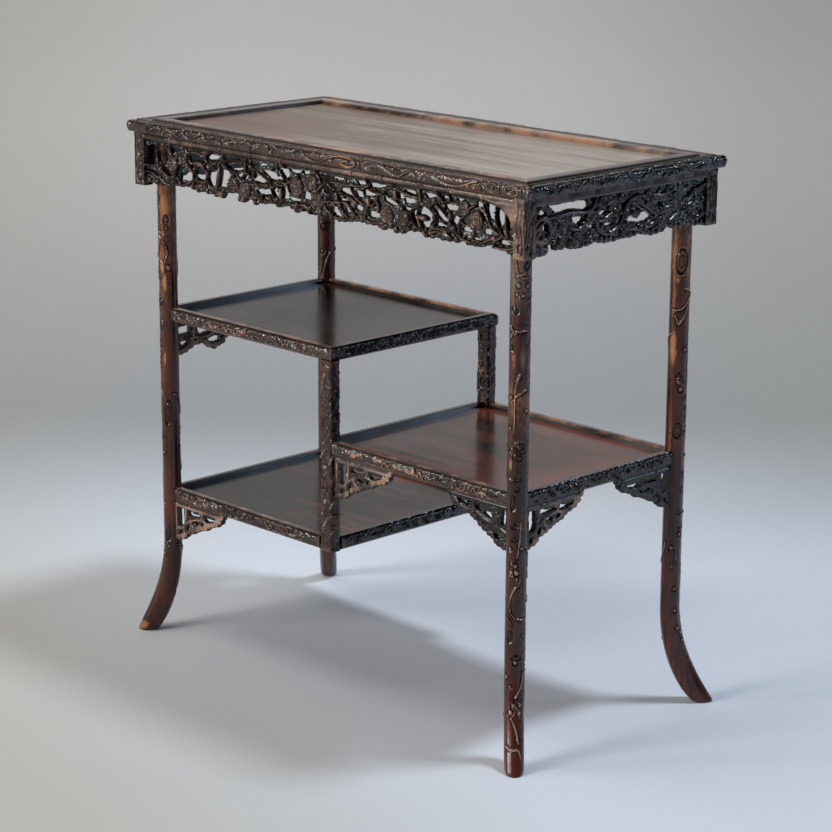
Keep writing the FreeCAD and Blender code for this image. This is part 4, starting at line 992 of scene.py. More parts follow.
bracket = {
    "long": 120.0,
    "drop": 64.0,
    "half": 5.0,
    "cell": 0.95,
    "relief": 2.2,
    "opened": 1.12,  # how much wider the openings are cut than they are drawn
    "lobeGap": 9.0,
    "stemWidths": (4.4, 5.8),
    "looseBuds": 14,
}
bracketKinds = {
    "plain": {
        "seed": 31,
        "edge": [(0.0, 0.97), (0.15, 0.94), (0.26, 0.83), (0.3, 0.75), (0.42, 0.68), (0.5, 0.58),
                 (0.62, 0.53), (0.72, 0.42), (0.84, 0.34), (0.93, 0.22), (1.0, 0.0)],
        "openings": [
            [(0.11, 0.17), (0.2, 0.17), (0.2, 0.57), (0.11, 0.57)],
            [(0.3, 0.17), (0.37, 0.17), (0.38, 0.21), (0.53, 0.19), (0.53, 0.23), (0.37, 0.28), (0.3, 0.27)],
            [(0.62, 0.17), (0.67, 0.17), (0.68, 0.21), (0.82, 0.2), (0.8, 0.24), (0.66, 0.29), (0.62, 0.27)],
            [(0.38, 0.36), (0.42, 0.35), (0.5, 0.43), (0.47, 0.46), (0.4, 0.42)],
            [(0.55, 0.42), (0.58, 0.37), (0.62, 0.37), (0.61, 0.42), (0.57, 0.45)],
            [(0.25, 0.65), (0.28, 0.56), (0.32, 0.56), (0.31, 0.65), (0.27, 0.69)],
            [(0.11, 0.8), (0.14, 0.73), (0.18, 0.75), (0.17, 0.82), (0.13, 0.85)],
        ],
        "stems": [
            [(0.03, 0.1), (0.25, 0.1), (0.55, 0.1), (0.92, 0.1)],
            [(0.05, 0.08), (0.05, 0.5), (0.06, 0.9)],
            [(0.25, 0.12), (0.25, 0.4), (0.2, 0.64), (0.08, 0.68)],
            [(0.58, 0.1), (0.56, 0.3), (0.46, 0.33), (0.34, 0.4), (0.26, 0.5)],
            [(0.2, 0.64), (0.22, 0.8), (0.1, 0.92)],
            [(0.34, 0.4), (0.36, 0.56), (0.46, 0.54), (0.56, 0.52)],
            [(0.56, 0.3), (0.68, 0.36), (0.78, 0.32), (0.9, 0.18)],
        ],
        "blossoms": [],
    },
    "carved": {
        "seed": 37,
        "edge": [(0.0, 0.98), (0.14, 0.97), (0.24, 0.9), (0.24, 0.82), (0.34, 0.76), (0.44, 0.66),
                 (0.52, 0.56), (0.56, 0.5), (0.64, 0.42), (0.76, 0.36), (0.84, 0.28), (0.9, 0.3),
                 (0.97, 0.14), (1.0, 0.0)],
        "openings": [
            [(0.1, 0.12), (0.15, 0.12), (0.16, 0.44), (0.11, 0.44), (0.09, 0.28)],
            [(0.32, 0.26), (0.42, 0.24), (0.43, 0.32), (0.36, 0.38), (0.31, 0.34)],
            [(0.62, 0.13), (0.84, 0.13), (0.82, 0.2), (0.7, 0.24)],
            [(0.18, 0.7), (0.26, 0.66), (0.28, 0.74), (0.21, 0.78)],
            [(0.46, 0.14), (0.56, 0.14), (0.54, 0.26), (0.48, 0.28)],
        ],
        "stems": [
            [(0.02, 0.05), (0.5, 0.05), (0.98, 0.05)],
            [(0.04, 0.05), (0.04, 0.5), (0.04, 0.95)],
            [(0.2, 0.08), (0.22, 0.3), (0.2, 0.52), (0.08, 0.62)],
            [(0.22, 0.34), (0.28, 0.46), (0.4, 0.46), (0.5, 0.38), (0.58, 0.28), (0.6, 0.1)],
            [(0.2, 0.52), (0.3, 0.6), (0.32, 0.7)],
            [(0.58, 0.28), (0.7, 0.32), (0.82, 0.26), (0.92, 0.12)],
        ],
        "blossoms": [(0.27, 0.16, 6.5), (0.15, 0.84, 6.5), (0.36, 0.58, 6.0)],
    },
    "cloud": {
        "seed": 41,
        "edge": [(0.0, 0.9), (0.14, 0.9), (0.24, 0.82), (0.3, 0.74), (0.5, 0.72), (0.56, 0.84), (0.66, 0.9),
                 (0.8, 0.84), (0.92, 0.5), (1.0, 0.0)],
        "openings": [
            [(0.1, 0.6), (0.18, 0.58), (0.22, 0.64), (0.14, 0.7)],
            [(0.56, 0.66), (0.66, 0.6), (0.76, 0.66), (0.72, 0.76), (0.62, 0.76)],
            [(0.08, 0.24), (0.24, 0.22), (0.24, 0.38), (0.08, 0.4)],
            [(0.38, 0.26), (0.66, 0.2), (0.62, 0.42), (0.42, 0.48)],
        ],
        "stems": [
            [(0.02, 0.08), (0.5, 0.08), (0.96, 0.06)],
            [(0.04, 0.1), (0.05, 0.5), (0.04, 0.84)],
            [(0.3, 0.1), (0.32, 0.4), (0.3, 0.6), (0.14, 0.78)],
            [(0.32, 0.54), (0.5, 0.58), (0.66, 0.5), (0.76, 0.32), (0.84, 0.1)],
            [(0.54, 0.6), (0.52, 0.74), (0.64, 0.84), (0.78, 0.76), (0.84, 0.56), (0.88, 0.3)],
        ],
        "blossoms": [(0.1, 0.5, 5.5), (0.42, 0.64, 6.0)],
    },
}


def drawBracket(kind):
    shape = bracketKinds[kind]
    scale = np.array([bracket["long"], bracket["drop"]])
    relief = bracket["relief"]

    def draw(points):
        board = Carving(points)
        away = np.full(len(points), boards["far"])
        for corners in shape["openings"]:
            outline = np.array(corners) * scale
            centre = outline.mean(axis=0)
            opened = centre + (outline - centre) * bracket["opened"]
            away = np.minimum(away, edgeDistance(points, opened))
        outline = np.array([(-0.02, -0.05), (-0.02, 0.97), *shape["edge"], (1.0, -0.05)]) * scale
        away = np.minimum(away, -edgeDistance(points, outline)) + 0.4 * lattice(points, 3.0, shape["seed"])
        board.raiseAll(away, 0.6 + 0.35 * lattice(points, 3.4, shape["seed"] + 1))
        draws = np.random.default_rng(shape["seed"])
        lobeBuds(board, shape["edge"], scale, bracket["lobeGap"], shape["seed"])
        for stem in shape["stems"]:
            board.stem(softened(np.array(stem) * scale), draws.uniform(*bracket["stemWidths"]),
                       relief * draws.uniform(0.8, 1.0), foot=0.5)
        for along, down, radius in shape["blossoms"]:
            board.blossom(np.array((along, down)) * scale, radius, relief, draws.uniform(0, 6))
        for _ in range(bracket["looseBuds"]):
            centre = somewhere(draws, (0.03, 0.9), (0.05, 0.9), scale)
            if board.depthAt(centre) > 1.0:
                board.bud(centre, draws.uniform(1.8, 2.8), relief, 1.3, draws.uniform(0, 3))
        return board
    return draw


bracketPlaces = [
    # node, kind, the way it runs from its upright (in quarter turns)
    ("bracket_front_post", "plain", 0), ("bracket_front_right", "carved", 2),
    ("bracket_right_front", "plain", 1), ("bracket_right_back", "plain", 3),
    ("bracket_back_right", "carved", 2), ("bracket_back_post", "plain", 0),
    ("bracket_front_left", "plain", 0), ("bracket_back_left", "plain", 0),
    ("bracket_left_front", "cloud", 1), ("bracket_left_back", "cloud", 3),
]


def brackets():
    half, relief = bracket["half"], bracket["relief"]
    made = {}
    for kind in bracketKinds:
        made[kind] = boardPiece("bracket" + kind.title(), ((0, bracket["long"]), (0, bracket["drop"])),
                                bracket["cell"], relief, drawBracket(kind),
                                lambda points, height: standing(points, relief - height, half, 0.0),
                                lambda places: places * (1, -1, 1))
    for node, kind, turns in bracketPlaces:
        low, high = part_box(node)
        middle = (low + high) / 2
        long = bracket["long"] * mm
        start = [(high.x - long, middle.y), (middle.x, high.y - long), (low.x + long, middle.y),
                 (middle.x, low.y + long)][turns]
        name = "bracket" + "".join(word.title() for word in node.split("_")[1:])
        piece = copyOf(made[kind], name, Matrix.Translation((*start, high.z)) @ quarterTurn(turns))
        finishPiece(piece, "carvedSmall", node)
    for piece in made.values():
        bpy.data.objects.remove(piece)


# rails: moulded bars whose outer face is carved over its whole length

topRail = {
    "plain": [(5, -19), (48, -19), (48, -1.4), (46.8, -0.3), (44, 0), (31, 0), (28.6, -0.4), (27.4, -1.6),
              (26.2, -2.6), (19, -2.4), (14, -1.5), (12, -0.8)],
    "nose": [(12, -0.8), (9, -0.5), (6, -0.8), (3.4, -1.6), (1.6, -3), (0.5, -5), (0, -7.4), (0, -10),
             (0.5, -13), (1.3, -16), (2.5, -19), (5, -19)],
    # the depths of the cove whose colour is darkened as painted shade
    "dark": (12.5, 27.6),
    "shoulder": 8.0,
    "under": 2.5,
    "halves": (410.0, 199.0),
    "top": 800.0,
    "grain": 0.75,
    "step": 0.86,
    "relief": 2.4,
}
shelfRail = {
    "plain": [(4.5, -20), (17, -20), (17, -2.5), (14, -2.5), (14, -0.8), (13.2, 0), (8, 0), (5, 0)],
    "nose": [(5, 0), (3, -0.5), (1.5, -1.6), (0.5, -3.6), (0, -7), (0, -10), (0, -13.5), (0.4, -16.4),
             (1.2, -18.4), (2.6, -19.7), (4.5, -20)],
    # the depths of the step whose colour is darkened as painted shade
    "dark": (14.0, 17.5),
    "grain": 0.85,
    "step": 1.0,
    "relief": 2.4,
    "seed": 71,
}


railEnds = {
    # near its ends a rail's carving stands at one height, so that it meets its neighbour there
    "height": 0.75,
    "mitred": 3,
    "whole": 9,
    "plain": -9.0,  # where on the map the part of the section lies that isn't carved
}
sides = ("front", "right", "back", "left")


def resampled(line, step):
    line = np.asarray(line, float)
    run = runOf(line)
    at = np.linspace(0, run[-1], max(2, round(run[-1] / step)) + 1)
    return np.stack([np.interp(at, run, line[:, 0]), np.interp(at, run, line[:, 1])], axis=1), at


def railLoop(rail):
    # the closed section, the share of carving at each of its points, and the way outwards there
    nose, down = resampled(rail["nose"], rail["grain"])
    slope = np.gradient(nose, axis=0)
    slope /= np.hypot(*slope.T)[:, None]
    outward = np.stack([slope[:, 1], -slope[:, 0]], axis=1)
    plain = np.array(rail["plain"], float)[:-1]
    carved = smooth(down, 0, 1.6) * smooth(down[-1] - down, 0, 1.0)
    share = np.concatenate([np.zeros(len(plain)), carved])
    ways = np.vstack([np.zeros_like(plain), outward])
    heights = np.concatenate([np.full(len(plain), railEnds["plain"]), down])
    return np.vstack([plain, nose]), share, ways, heights


def railPiece(name, node, rail, turns, run, mitres, face, top, draw):
    # run: where the outer edge starts and ends; mitres: which of its ends are cut at 45 degrees
    loop, share, ways, down = railLoop(rail)
    columns = round((run[1] - run[0]) / rail["step"])
    rows = len(loop) - 1
    relief = rail["relief"]
    level = relief * railEnds["height"]
    shadeFrom, shadeTo = rail["dark"]

    def place(grid):
        index = np.rint(grid[:, 1] * rows).astype(int)
        depth = loop[index, 0]
        start = run[0] + mitres[0] * depth
        end = run[1] - mitres[1] * depth
        along = start + (end - start) * grid[:, 0]
        carving = Carving(np.stack([along, down[index]], axis=1), inside=1.0)
        draw(carving)
        free = smooth(along, run[0] + mitres[0] * railEnds["mitred"], run[0] + railEnds["whole"]) \
            * smooth(run[1] - along, mitres[1] * railEnds["mitred"], railEnds["whole"])
        rise = level + (np.clip(carving.height, 0, relief) - level) * free
        sunk = (relief - rise) * share[index]
        places = np.stack([along, depth - sunk * ways[index, 0] - face,
                           top + loop[index, 1] - sunk * ways[index, 1]], axis=1)
        # painted shade: the cove between these depths is given a low crest, so it is coloured dark; the other
        # plain parts a high one
        shadedCove = (depth > shadeFrom) & (depth < shadeTo)
        crest = np.where(share[index] > 0.02, rise / relief, np.where(shadedCove, 0.3, 0.85))
        return places, {"crest": crest}

    piece = wrappedPiece(name, columns, rows, place)
    piece.data.transform(quarterTurn(turns))
    finishPiece(piece, "railLongLit" if turns % 2 == 0 else "railShortShaded", node)


def barkRelief(carving, seed, relief):
    points = carving.points
    lumps = lattice(points, 3.8, seed) * 0.5 + lattice(points, 1.9, seed + 1) * 0.3
    carving.height[:] = relief * (0.36 + 0.3 * lumps)


def scatter(carving, run, tall, seed, relief, gap, top=0.0):
    # eyes, buds, curls and slanting leaves, one after another along the bar
    draws = np.random.default_rng(seed)
    carving.points[:, 1] -= top
    tall -= top
    along = run[0] + gap
    while along < run[1] - gap:
        kind = draws.integers(0, 5)
        middle = tall * draws.uniform(0.4, 0.6)
        if kind == 0:
            carving.eye((along, middle), draws.uniform(4.5, 7.0), draws.uniform(3.6, 5.0),
                        draws.uniform(-0.5, 0.5), relief)
        elif kind == 1:
            for shift in (-4.4, 0, 4.4):
                spot = (along + shift, tall * draws.uniform(0.25, 0.75))
                carving.bud(spot, draws.uniform(2.0, 3.0), relief)
        elif kind == 2:
            way = draws.choice([-1, 1])
            line = curl((along - 7 * way, tall * 0.85), -0.9 if way > 0 else -2.2, draws.uniform(17, 26),
                        way * draws.uniform(2.8, 5.0))
            carving.stem(line, draws.uniform(2.2, 3.0), relief, foot=0.3, moat=0.8)
        elif kind == 3:
            for shift in (-4, 0, 4):
                carving.bud((along + shift, middle), 2.2, relief * 0.95, 2.6, draws.choice([0.9, -0.9]))
        else:
            rise = draws.uniform(-0.3, 0.3)
            line = [(along + shift, tall * (0.5 + way * rise))
                    for shift, way in ((-9, 1), (-3, -1), (3, 1), (9, -1))]
            carving.stem(softened(line), 2.5, relief, foot=0.3, moat=0.8)
        along += gap * draws.uniform(0.7, 1.25)
    carving.points[:, 1] += top


topMotifs = {
    # for each side: bare stretches as start and end; eyes as place, height share, long, short; winding
    # stems; buds as place, height share, size; upright rings
    "front": {
        "seed": 51,
        "bare": [(-410, -366), (-283, -236), (-192, -152), (-104, -64), (-44, 95), (98, 136), (138, 232),
                 (232, 322), (332, 400)],
        "eyes": [(344, 0.5, 8.5, 6.2), (379, 0.5, 11.0, 6.8), (-174, 0.5, 12.0, 6.0), (-84, 0.48, 7.5, 6.6),
                 (168, 0.4, 5.6, 4.6), (116, 0.5, 13.0, 6.2), (-352, 0.5, 7.0, 5.0)],
        "rings": [359, -156, -360, 97, 326, 398],
        "stems": [
            [(231, 0.2), (240, 0.5), (256, 0.82), (276, 0.9), (296, 0.66), (308, 0.36), (317, 0.3)],
            [(142, 0.18), (144, 0.45), (156, 0.8), (172, 0.9), (182, 0.55), (192, 0.38), (202, 0.5)],
            [(140, 0.12), (152, 0.12), (162, 0.16)],
            [(38, 0.42), (46, 0.14), (66, 0.1), (84, 0.3), (88, 0.62), (74, 0.86), (58, 0.72), (60, 0.46),
             (72, 0.42)],
            [(-38, 0.5), (-34, 0.14), (-20, 0.28), (-12, 0.72), (4, 0.88), (20, 0.78), (30, 0.4), (40, 0.34)],
            [(-281, 0.06), (-279, 0.5), (-270, 0.84), (-254, 0.6), (-240, 0.28)],
            [(-232, 0.75), (-214, 0.6), (-196, 0.72)],
            [(-330, 0.8), (-316, 0.3), (-300, 0.65), (-290, 0.3)],
        ],
        "buds": [(239, 0.3, 3.0), (254, 0.36, 3.8), (272, 0.46, 2.8), (300, 0.7, 2.6), (206, 0.3, 3.0),
                 (214, 0.55, 3.4), (222, 0.3, 3.0), (210, 0.8, 3.0), (220, 0.8, 2.8), (2, 0.3, 3.0),
                 (12, 0.4, 3.2), (22, 0.2, 2.4), (-24, 0.78, 2.6), (-244, 0.75, 2.6), (-262, 0.25, 2.8),
                 (190, 0.75, 2.6), (128, 0.2, 2.0), (-100, 0.3, 2.2), (312, 0.75, 2.6)],
    },
    "right": {
        "seed": 57,
        "bare": [(-180, -120), (-40, 30), (110, 170)],
        "eyes": [(-158, 0.5, 10, 6.4), (96, 0.5, 8, 6), (-60, 0.5, 8, 5.6)],
        "rings": [-186, -143, 40, 178],
        "stems": [[(-138, 0.8), (-128, 0.2), (-112, 0.3), (-104, 0.8)],
                  [(-36, 0.6), (-26, 0.15), (-8, 0.15), (6, 0.75), (24, 0.85), (32, 0.4)],
                  [(112, 0.2), (124, 0.8), (142, 0.8), (152, 0.3), (166, 0.25)]],
        "buds": [(-122, 0.6, 3.0), (-12, 0.6, 3.2), (0, 0.25, 2.8), (132, 0.4, 3.0), (158, 0.7, 3.0)],
    },
    "back": {
        "seed": 61,
        "bare": [(-345, -300), (-40, 30), (170, 230)],
        "eyes": [(-320, 0.5, 10, 6), (-120, 0.5, 8, 6), (90, 0.5, 8, 6), (290, 0.5, 10, 6)],
        "rings": [-386, -200, 60, 240, 380],
        "stems": [[(-36, 0.6), (-26, 0.15), (-8, 0.15), (6, 0.75), (24, 0.85)],
                  [(174, 0.2), (186, 0.8), (204, 0.8), (214, 0.3), (228, 0.25)]],
        "buds": [(-8, 0.6, 3.2), (4, 0.25, 2.8), (196, 0.4, 3.0), (222, 0.7, 3.0)],
    },
    "left": {
        "seed": 67,
        "bare": [(-150, -100), (90, 140)],
        "eyes": [(-80, 0.5, 8, 6), (70, 0.5, 8, 6)],
        "rings": [-10, 150],
        "stems": [[(-146, 0.8), (-132, 0.2), (-116, 0.2), (-106, 0.7)],
                  [(94, 0.2), (106, 0.8), (122, 0.8), (134, 0.3)]],
        "buds": [(-124, 0.65, 3.0), (114, 0.35, 3.0)],
    },
}


def drawTopRail(motifs, run):
    relief, seed = topRail["relief"], motifs["seed"]
    shoulder, tall = topRail["shoulder"], railLoop(topRail)[3][-1] - topRail["under"]

    def level(share):
        return shoulder + share * (tall - shoulder)

    def draw(carving):
        barkRelief(carving, seed, relief)
        scatter(carving, (run[0] + 12, run[1] - 12), tall, seed, relief, 12.5, shoulder)
        for start, end in motifs["bare"]:
            carving.plane(start, end, relief * 0.45, relief * 0.09, seed)
        draws = np.random.default_rng(seed)
        for u in np.arange(run[0] + 14, run[1] - 14, 4.6):
            if lattice(np.array([[u]]), 60.0, seed)[0] > -0.25:
                carving.bud((u, shoulder * draws.uniform(0.55, 0.95)), draws.uniform(1.5, 2.3), relief)
        for stem in motifs["stems"]:
            line = softened([(u, level(v)) for u, v in stem])
            carving.stem(line, 2.9, relief, foot=0.9, moat=0.85)
        for u, v, size in motifs["buds"]:
            carving.bud((u, level(v)), size, relief)
        for u, v, long, short in motifs["eyes"]:
            carving.eye((u, level(v)), long, short, 0.1, relief)
        for u in motifs["rings"]:
            ring = np.array([(u - 1.5, 4.0), (u, level(0.5)), (u - 1.5, tall)])
            carving.groove(ring, 1.0, relief)
    return draw


def topRails():
    for turns, side in enumerate(sides):
        half, face = topRail["halves"] if turns % 2 == 0 else topRail["halves"][::-1]
        run = (-half, half)
        railPiece("topRail" + side.title(), "top_rail_" + side, topRail, turns, run, (1, 1), face,
                  topRail["top"], drawTopRail(topMotifs[side], run))


shelves = {
    # the top of each shelf, then for its rails at the front, right, back and left: where the rail
    # starts and ends, which of its ends are mitred, how far out its face stands, and its big rings
    "upper": (515.5, [
        ((-365, 8.5), (0, 1), 170.1, [(-320, 5.5), (-60, 6.0)]),
        ((-170.1, 170.1), (1, 1), 8.5, [(40, 6)]),
        ((-8.5, 365), (1, 0), 170.1, [(200, 6)]),
        ((-161.6, 161.6), (0, 0), 373.5, [(-50, 6)]),
    ]),
    "middle": (378.5, [
        ((8.5, 365), (0, 0), 170.1, [(265, 7.5), (318, 5)]),
        ((-161.6, 161.6), (0, 0), 373.5, [(-104, 5), (120, 6)]),
        ((-365, -8.5), (0, 0), 170.1, [(-180, 6)]),
        ((-149.6, 149.6), (0, 0), 19.5, [(60, 6)]),
    ]),
    "lower": (233.0, [
        ((-365, -19.5), (0, 0), 170.1, [(-298, 8.0), (-95, 5)]),
        ((-149.6, 149.6), (0, 0), 8.5, [(-20, 6)]),
        ((19.5, 365), (0, 0), 170.1, [(150, 6)]),
        ((-161.6, 161.6), (0, 0), 373.5, [(30, 6)]),
    ]),
}


def shelfRails():
    relief, seed = shelfRail["relief"], shelfRail["seed"]
    tall = railLoop(shelfRail)[3][-1]

    def draw(carving):
        barkRelief(carving, seed, relief)
        scatter(carving, (run[0] + 22, run[1] - 22), tall, seed, relief, 10.5)
        for u, radius in rings:
            carving.eye((u, tall * 0.46), radius * 1.15, radius * 0.95, 0.1, relief)
        low = smooth(carving.points[:, 1], tall * 0.72, tall * 0.84)
        carving.height[:] = carving.height * (1 - low) + relief * 0.55 * low

    for shelf, (top, rails) in shelves.items():
        for turns, (run, mitres, face, rings) in enumerate(rails):
            railPiece(shelf + "Rail" + sides[turns].title(), f"{shelf}_shelf_rail_{sides[turns]}", shelfRail,
                      turns, run, mitres, face, top, draw)
            seed += 1


# legs: round trunks that sweep outwards at the foot, carved with knots, buds and winding stems

leg = {
    "x": 365.0,
    "y": 161.6,
    "top": 781.0,
    "radius": 14.3,
    "sweep": 150.0,
    "toeSwell": 4.0,
    "relief": 2.5,
    "ground": 1.35,
    "stemWidth": 3.1,
    "rows": 78,
    "columns": 690,
    "plainAbove": 776,
    "soleEdge": (2.8, 7),
    "tipHeight": 22,
    "behind": (60, 720, 34),  # lowest, highest and gap of the motifs on the sides that look inwards
    "fade": 0.42,
}
legKinds = {
    # the side of a leg that looks to the front right corner is at 0 along the girth, and heights are
    # above the floor; worn patches are place, height, reach round the leg and up it, and strength, and some
    # are painted highlights
    "frontRight": {
        "signs": (1, -1), "reach": 36.0, "seed": 81, "toe": (4, 6, 0.4), "rough": (4, 9),
        "knots": [(-8, 630, 5.6, 3.8, 2.4), (-6, 369, 10, 4, 1.5), (-8, 182, 8.5, 4, 1.5),
                  (1, 152, 6.4, 4, 0.1), (-4, 337, 4.4, 3.6, 0.4), (-4, 319, 4, 3.4, 0.2),
                  (8, 690, 6, 4, 1.2)],
        "buds": [(-3, 663, 3.6), (9, 663, 3.2), (-5, 651, 3.0), (3, 650, 3.0), (-12, 513, 2.8),
                 (-13, 471, 3.0), (10, 495, 2.8), (-9, 442, 3.4), (1, 445, 3.2), (6, 441, 3.2),
                 (-4, 433, 3.8), (1, 431, 3.2), (-1, 389, 2.6), (6, 306, 2.6), (-10, 305, 2.8),
                 (-8, 272, 3.6), (0, 272, 3.8), (-2, 282, 3.4), (-7, 284, 3.4), (10, 182, 2.6), (0, 145, 3.0),
                 (-13, 124, 3.2), (-7, 112, 2.2), (-2, 87, 3.6), (7, 87, 3.0), (-6, 78, 3.8), (6, 77, 3.6)],
        "stems": [[(-8, 696), (-6, 682), (-1, 675), (5, 672), (11, 673)], [(-6, 675), (0, 677), (6, 680)],
                  [(-15, 608), (-9, 602), (-1, 602), (9, 603)], [(-9, 602), (-13, 596), (-16, 589)],
                  [(-14, 585), (-11, 577)],
                  [(1, 545), (-4, 534), (-6, 520), (-6, 500), (-6, 480), (-7, 464)],
                  [(-6, 513), (1, 519), (12, 524)], [(-14, 441), (-8, 448), (1, 454), (6, 452)],
                  [(-13, 404), (-4, 401), (2, 402)], [(5, 343), (4, 326), (3, 308), (0, 293)],
                  [(0, 264), (2, 255), (-5, 245), (-10, 232), (-9, 217), (-3, 209), (6, 205), (11, 207)],
                  [(5, 262), (2, 253)], [(-14, 208), (-8, 203), (-5, 197)], [(12, 132), (10, 114), (1, 97)],
                  [(-5, 71), (0, 61), (3, 51), (5, 40)], [(-13, 35), (-4, 31), (5, 34), (9, 22)]],
        "worn": [(-1, 592, 4, 12, 0.8), (-8, 565, 8, 15, 0.85), (-8, 640, 6, 34, 0.45),
                 (-11, 421, 4, 12, 0.85), (0, 84, 9, 10, 0.3), (-6, 510, 2, 36, 0.5), (-2, 675, 60, 75, -0.5),
                 (4, 565, 6, 20, -0.6)],
        "pale": 430.0,
    },
    "frontLeft": {
        "signs": (-1, -1), "reach": 29.5, "seed": 83, "toe": (-12, 9, 1.0), "rough": (-12, -16),
        "knots": [(-16, 681, 9, 5, 1.5), (0, 651, 6.5, 4.2, 1.5), (-12, 525, 4.8, 4, 1.3),
                  (-11, 488, 4.6, 3.8, 1.2), (-2, 354, 18, 5.6, 1.5), (-6, 158, 10, 4.6, 1.5),
                  (-9, 142, 4, 3, 0)],
        "buds": [(3, 577, 4.2), (-15, 468, 3.2), (-15, 459, 3.0), (-15, 450, 2.8), (-15, 442, 3.0),
                 (-13, 315, 3.2), (-11, 289, 3.2), (-12, 127, 2.8), (-15, 572, 3.0), (-15, 562, 2.8),
                 (-16, 424, 3.2), (-16, 394, 3.2)],
        "stems": [[(-14, 642), (-11, 632), (-6, 630), (0, 635)],
                  [(-14, 627), (-10, 624), (-4, 618), (1, 608), (1, 598), (-3, 587)],
                  [(-13, 388), (-9, 378), (-4, 369)], [(-14, 206), (-11, 196)], [(0, 646), (1, 637)],
                  [(-11, 618), (-8, 604), (-9, 590)], [(-7, 612), (-4, 600), (-6, 588)]],
        "worn": [(-5, 600, 9, 24, 0.8), (-8, 578, 5, 14, 1.0), (-4, 556, 4, 18, 1.0), (-6, 436, 2.4, 15, 1.0),
                 (-3, 668, 12, 40, 0.65), (-8, 630, 12, 40, 0.5)],
        "pale": 480.0,
    },
    "backRight": {
        "signs": (1, 1), "reach": 36.5, "seed": 87, "toe": (12, 8, 0.3), "rough": (9, 14),
        "knots": [(0, 652, 17, 8, 1.5), (1, 410, 11, 6, 1.5), (1, 489, 3.6, 3.4, 0), (9, 479, 3.8, 3.2, 0),
                  (8, 289, 3.6, 3.4, 0)],
        "buds": [(9, 526, 3.0), (13, 529, 2.6), (1, 479, 3.4), (4, 469, 3.8), (11, 263, 3.0), (9, 256, 2.8),
                 (-2, 236, 3.4), (4, 175, 3.2), (6, 142, 3.0), (8, 115, 3.0), (13, 96, 2.8), (12, 108, 2.6),
                 (15, 455, 3.0), (15, 440, 3.0), (15, 425, 3.0), (15, 405, 3.0), (14, 344, 3.0),
                 (12, 322, 2.6)],
        "stems": [[(-11, 582), (-4, 582), (3, 584), (8, 590), (12, 597), (19, 606)],
                  [(-8, 575), (-4, 568), (-2, 560), (3, 569), (8, 579), (12, 590)],
                  [(-1, 232), (0, 220), (-1, 206)], [(4, 230), (5, 215)],
                  [(-9, 640), (-8, 632), (0, 630), (7, 633)]],
        # the small strong patch at 625 is a painted highlight laid as gilt
        "worn": [(-10, 640, 6, 80, 0.75), (-9, 530, 6, 26, 0.9), (-5, 625, 4, 6, 1.0)],
        "pale": 560.0,
    },
    "backLeft": {
        "signs": (-1, 1), "reach": 34.5, "seed": 89, "toe": (-20, 5, 0.5), "rough": (8, 14),
        "knots": [(-2, 600, 7, 5, 0.5), (3, 440, 7, 5, 0.5), (-2, 310, 7, 5, 0.8), (0, 160, 7, 5, 0.8),
                  (-3, 690, 7, 5, 1.2)],
        "buds": [(6, 640, 3.8), (-6, 560, 3.8), (6, 500, 3.6), (-8, 380, 3.6), (5, 260, 3.6), (-4, 110, 3.4)],
        "stems": [[(8, 560), (0, 545), (-6, 520)], [(8, 400), (0, 388), (-6, 360)],
                  [(-8, 230), (0, 215), (6, 190)], [(-8, 670), (0, 660), (6, 640)]],
        "worn": [(0, 640, 60, 120, -0.4), (-6, 660, 5, 30, 0.5)],
        "pale": 560.0,
    },
}


def legShape(height, reach):
    # the foot follows part of a wide circle outwards, and is cut level, so it grows longer that way
    slant = math.sqrt(2) * reach
    bend = (leg["sweep"] ** 2 + slant ** 2) / (2 * slant)
    under = np.clip(leg["sweep"] - height, 0, None)
    shift = bend - np.sqrt(bend ** 2 - under ** 2)
    toe, tip = smooth(height, leg["sweep"], 20), smooth(height, leg["tipHeight"], 0)
    rim, upTo = leg["soleEdge"]
    edge = rim * (1 - np.sqrt(1 - np.clip(1 - height / upTo, 0, 1) ** 2))
    along = leg["radius"] + leg["toeSwell"] * toe - 1.7 * tip - edge
    across = leg["radius"] - 0.3 * toe - 0.8 * tip - edge
    return shift, along, across


def legCarving(shape, around, height, solid):
    relief, ground, width, seed = leg["relief"], leg["ground"], leg["stemWidth"], shape["seed"]
    carving = Carving(np.stack([around, height], axis=1), inside=1.0)
    bark = lattice(solid, (8.0, 8.0, 24.0), seed) * 0.5 + lattice(solid, 3.4, seed + 1) * 0.3
    rough = np.maximum(smooth(around, *shape["rough"]), smooth(np.abs(around), 24, 34))
    carving.height[:] = ground - 0.35 * rough + bark * smooth(height, 0, 90) * (0.18 + 0.9 * rough)
    draws = np.random.default_rng(seed)
    for level in np.arange(*leg["behind"]):
        u, v = draws.choice([-1, 1]) * draws.uniform(19, 42), level + draws.uniform(-12, 12)
        kind = draws.integers(0, 3)
        if kind == 0:
            carving.knot((u, v), draws.uniform(5, 8), draws.uniform(4, 5.6), draws.uniform(0, 3), ground)
        elif kind == 1:
            carving.bud((u, v), draws.uniform(3.2, 4.4), relief)
        else:
            line = curl((u, v - 12), draws.uniform(0.9, 2.2), draws.uniform(26, 44), draws.uniform(-2.4, 2.4))
            carving.stem(line, width, relief * 0.95, foot=ground, moat=0.5)
    for stem in shape["stems"]:
        carving.stem(softened(stem), width, relief, foot=ground, taper=0.25, moat=0.6)
    for u, v, long, short, tilt in shape["knots"]:
        carving.knot((u, v), long, short, tilt, ground)
    for u, v, size in shape["buds"]:
        carving.knot((u, v), size * 1.15, size, 1.3, ground)
        carving.bud((u, v), size, relief, 1.15, 1.3)
    return np.clip(carving.height, 0, relief)


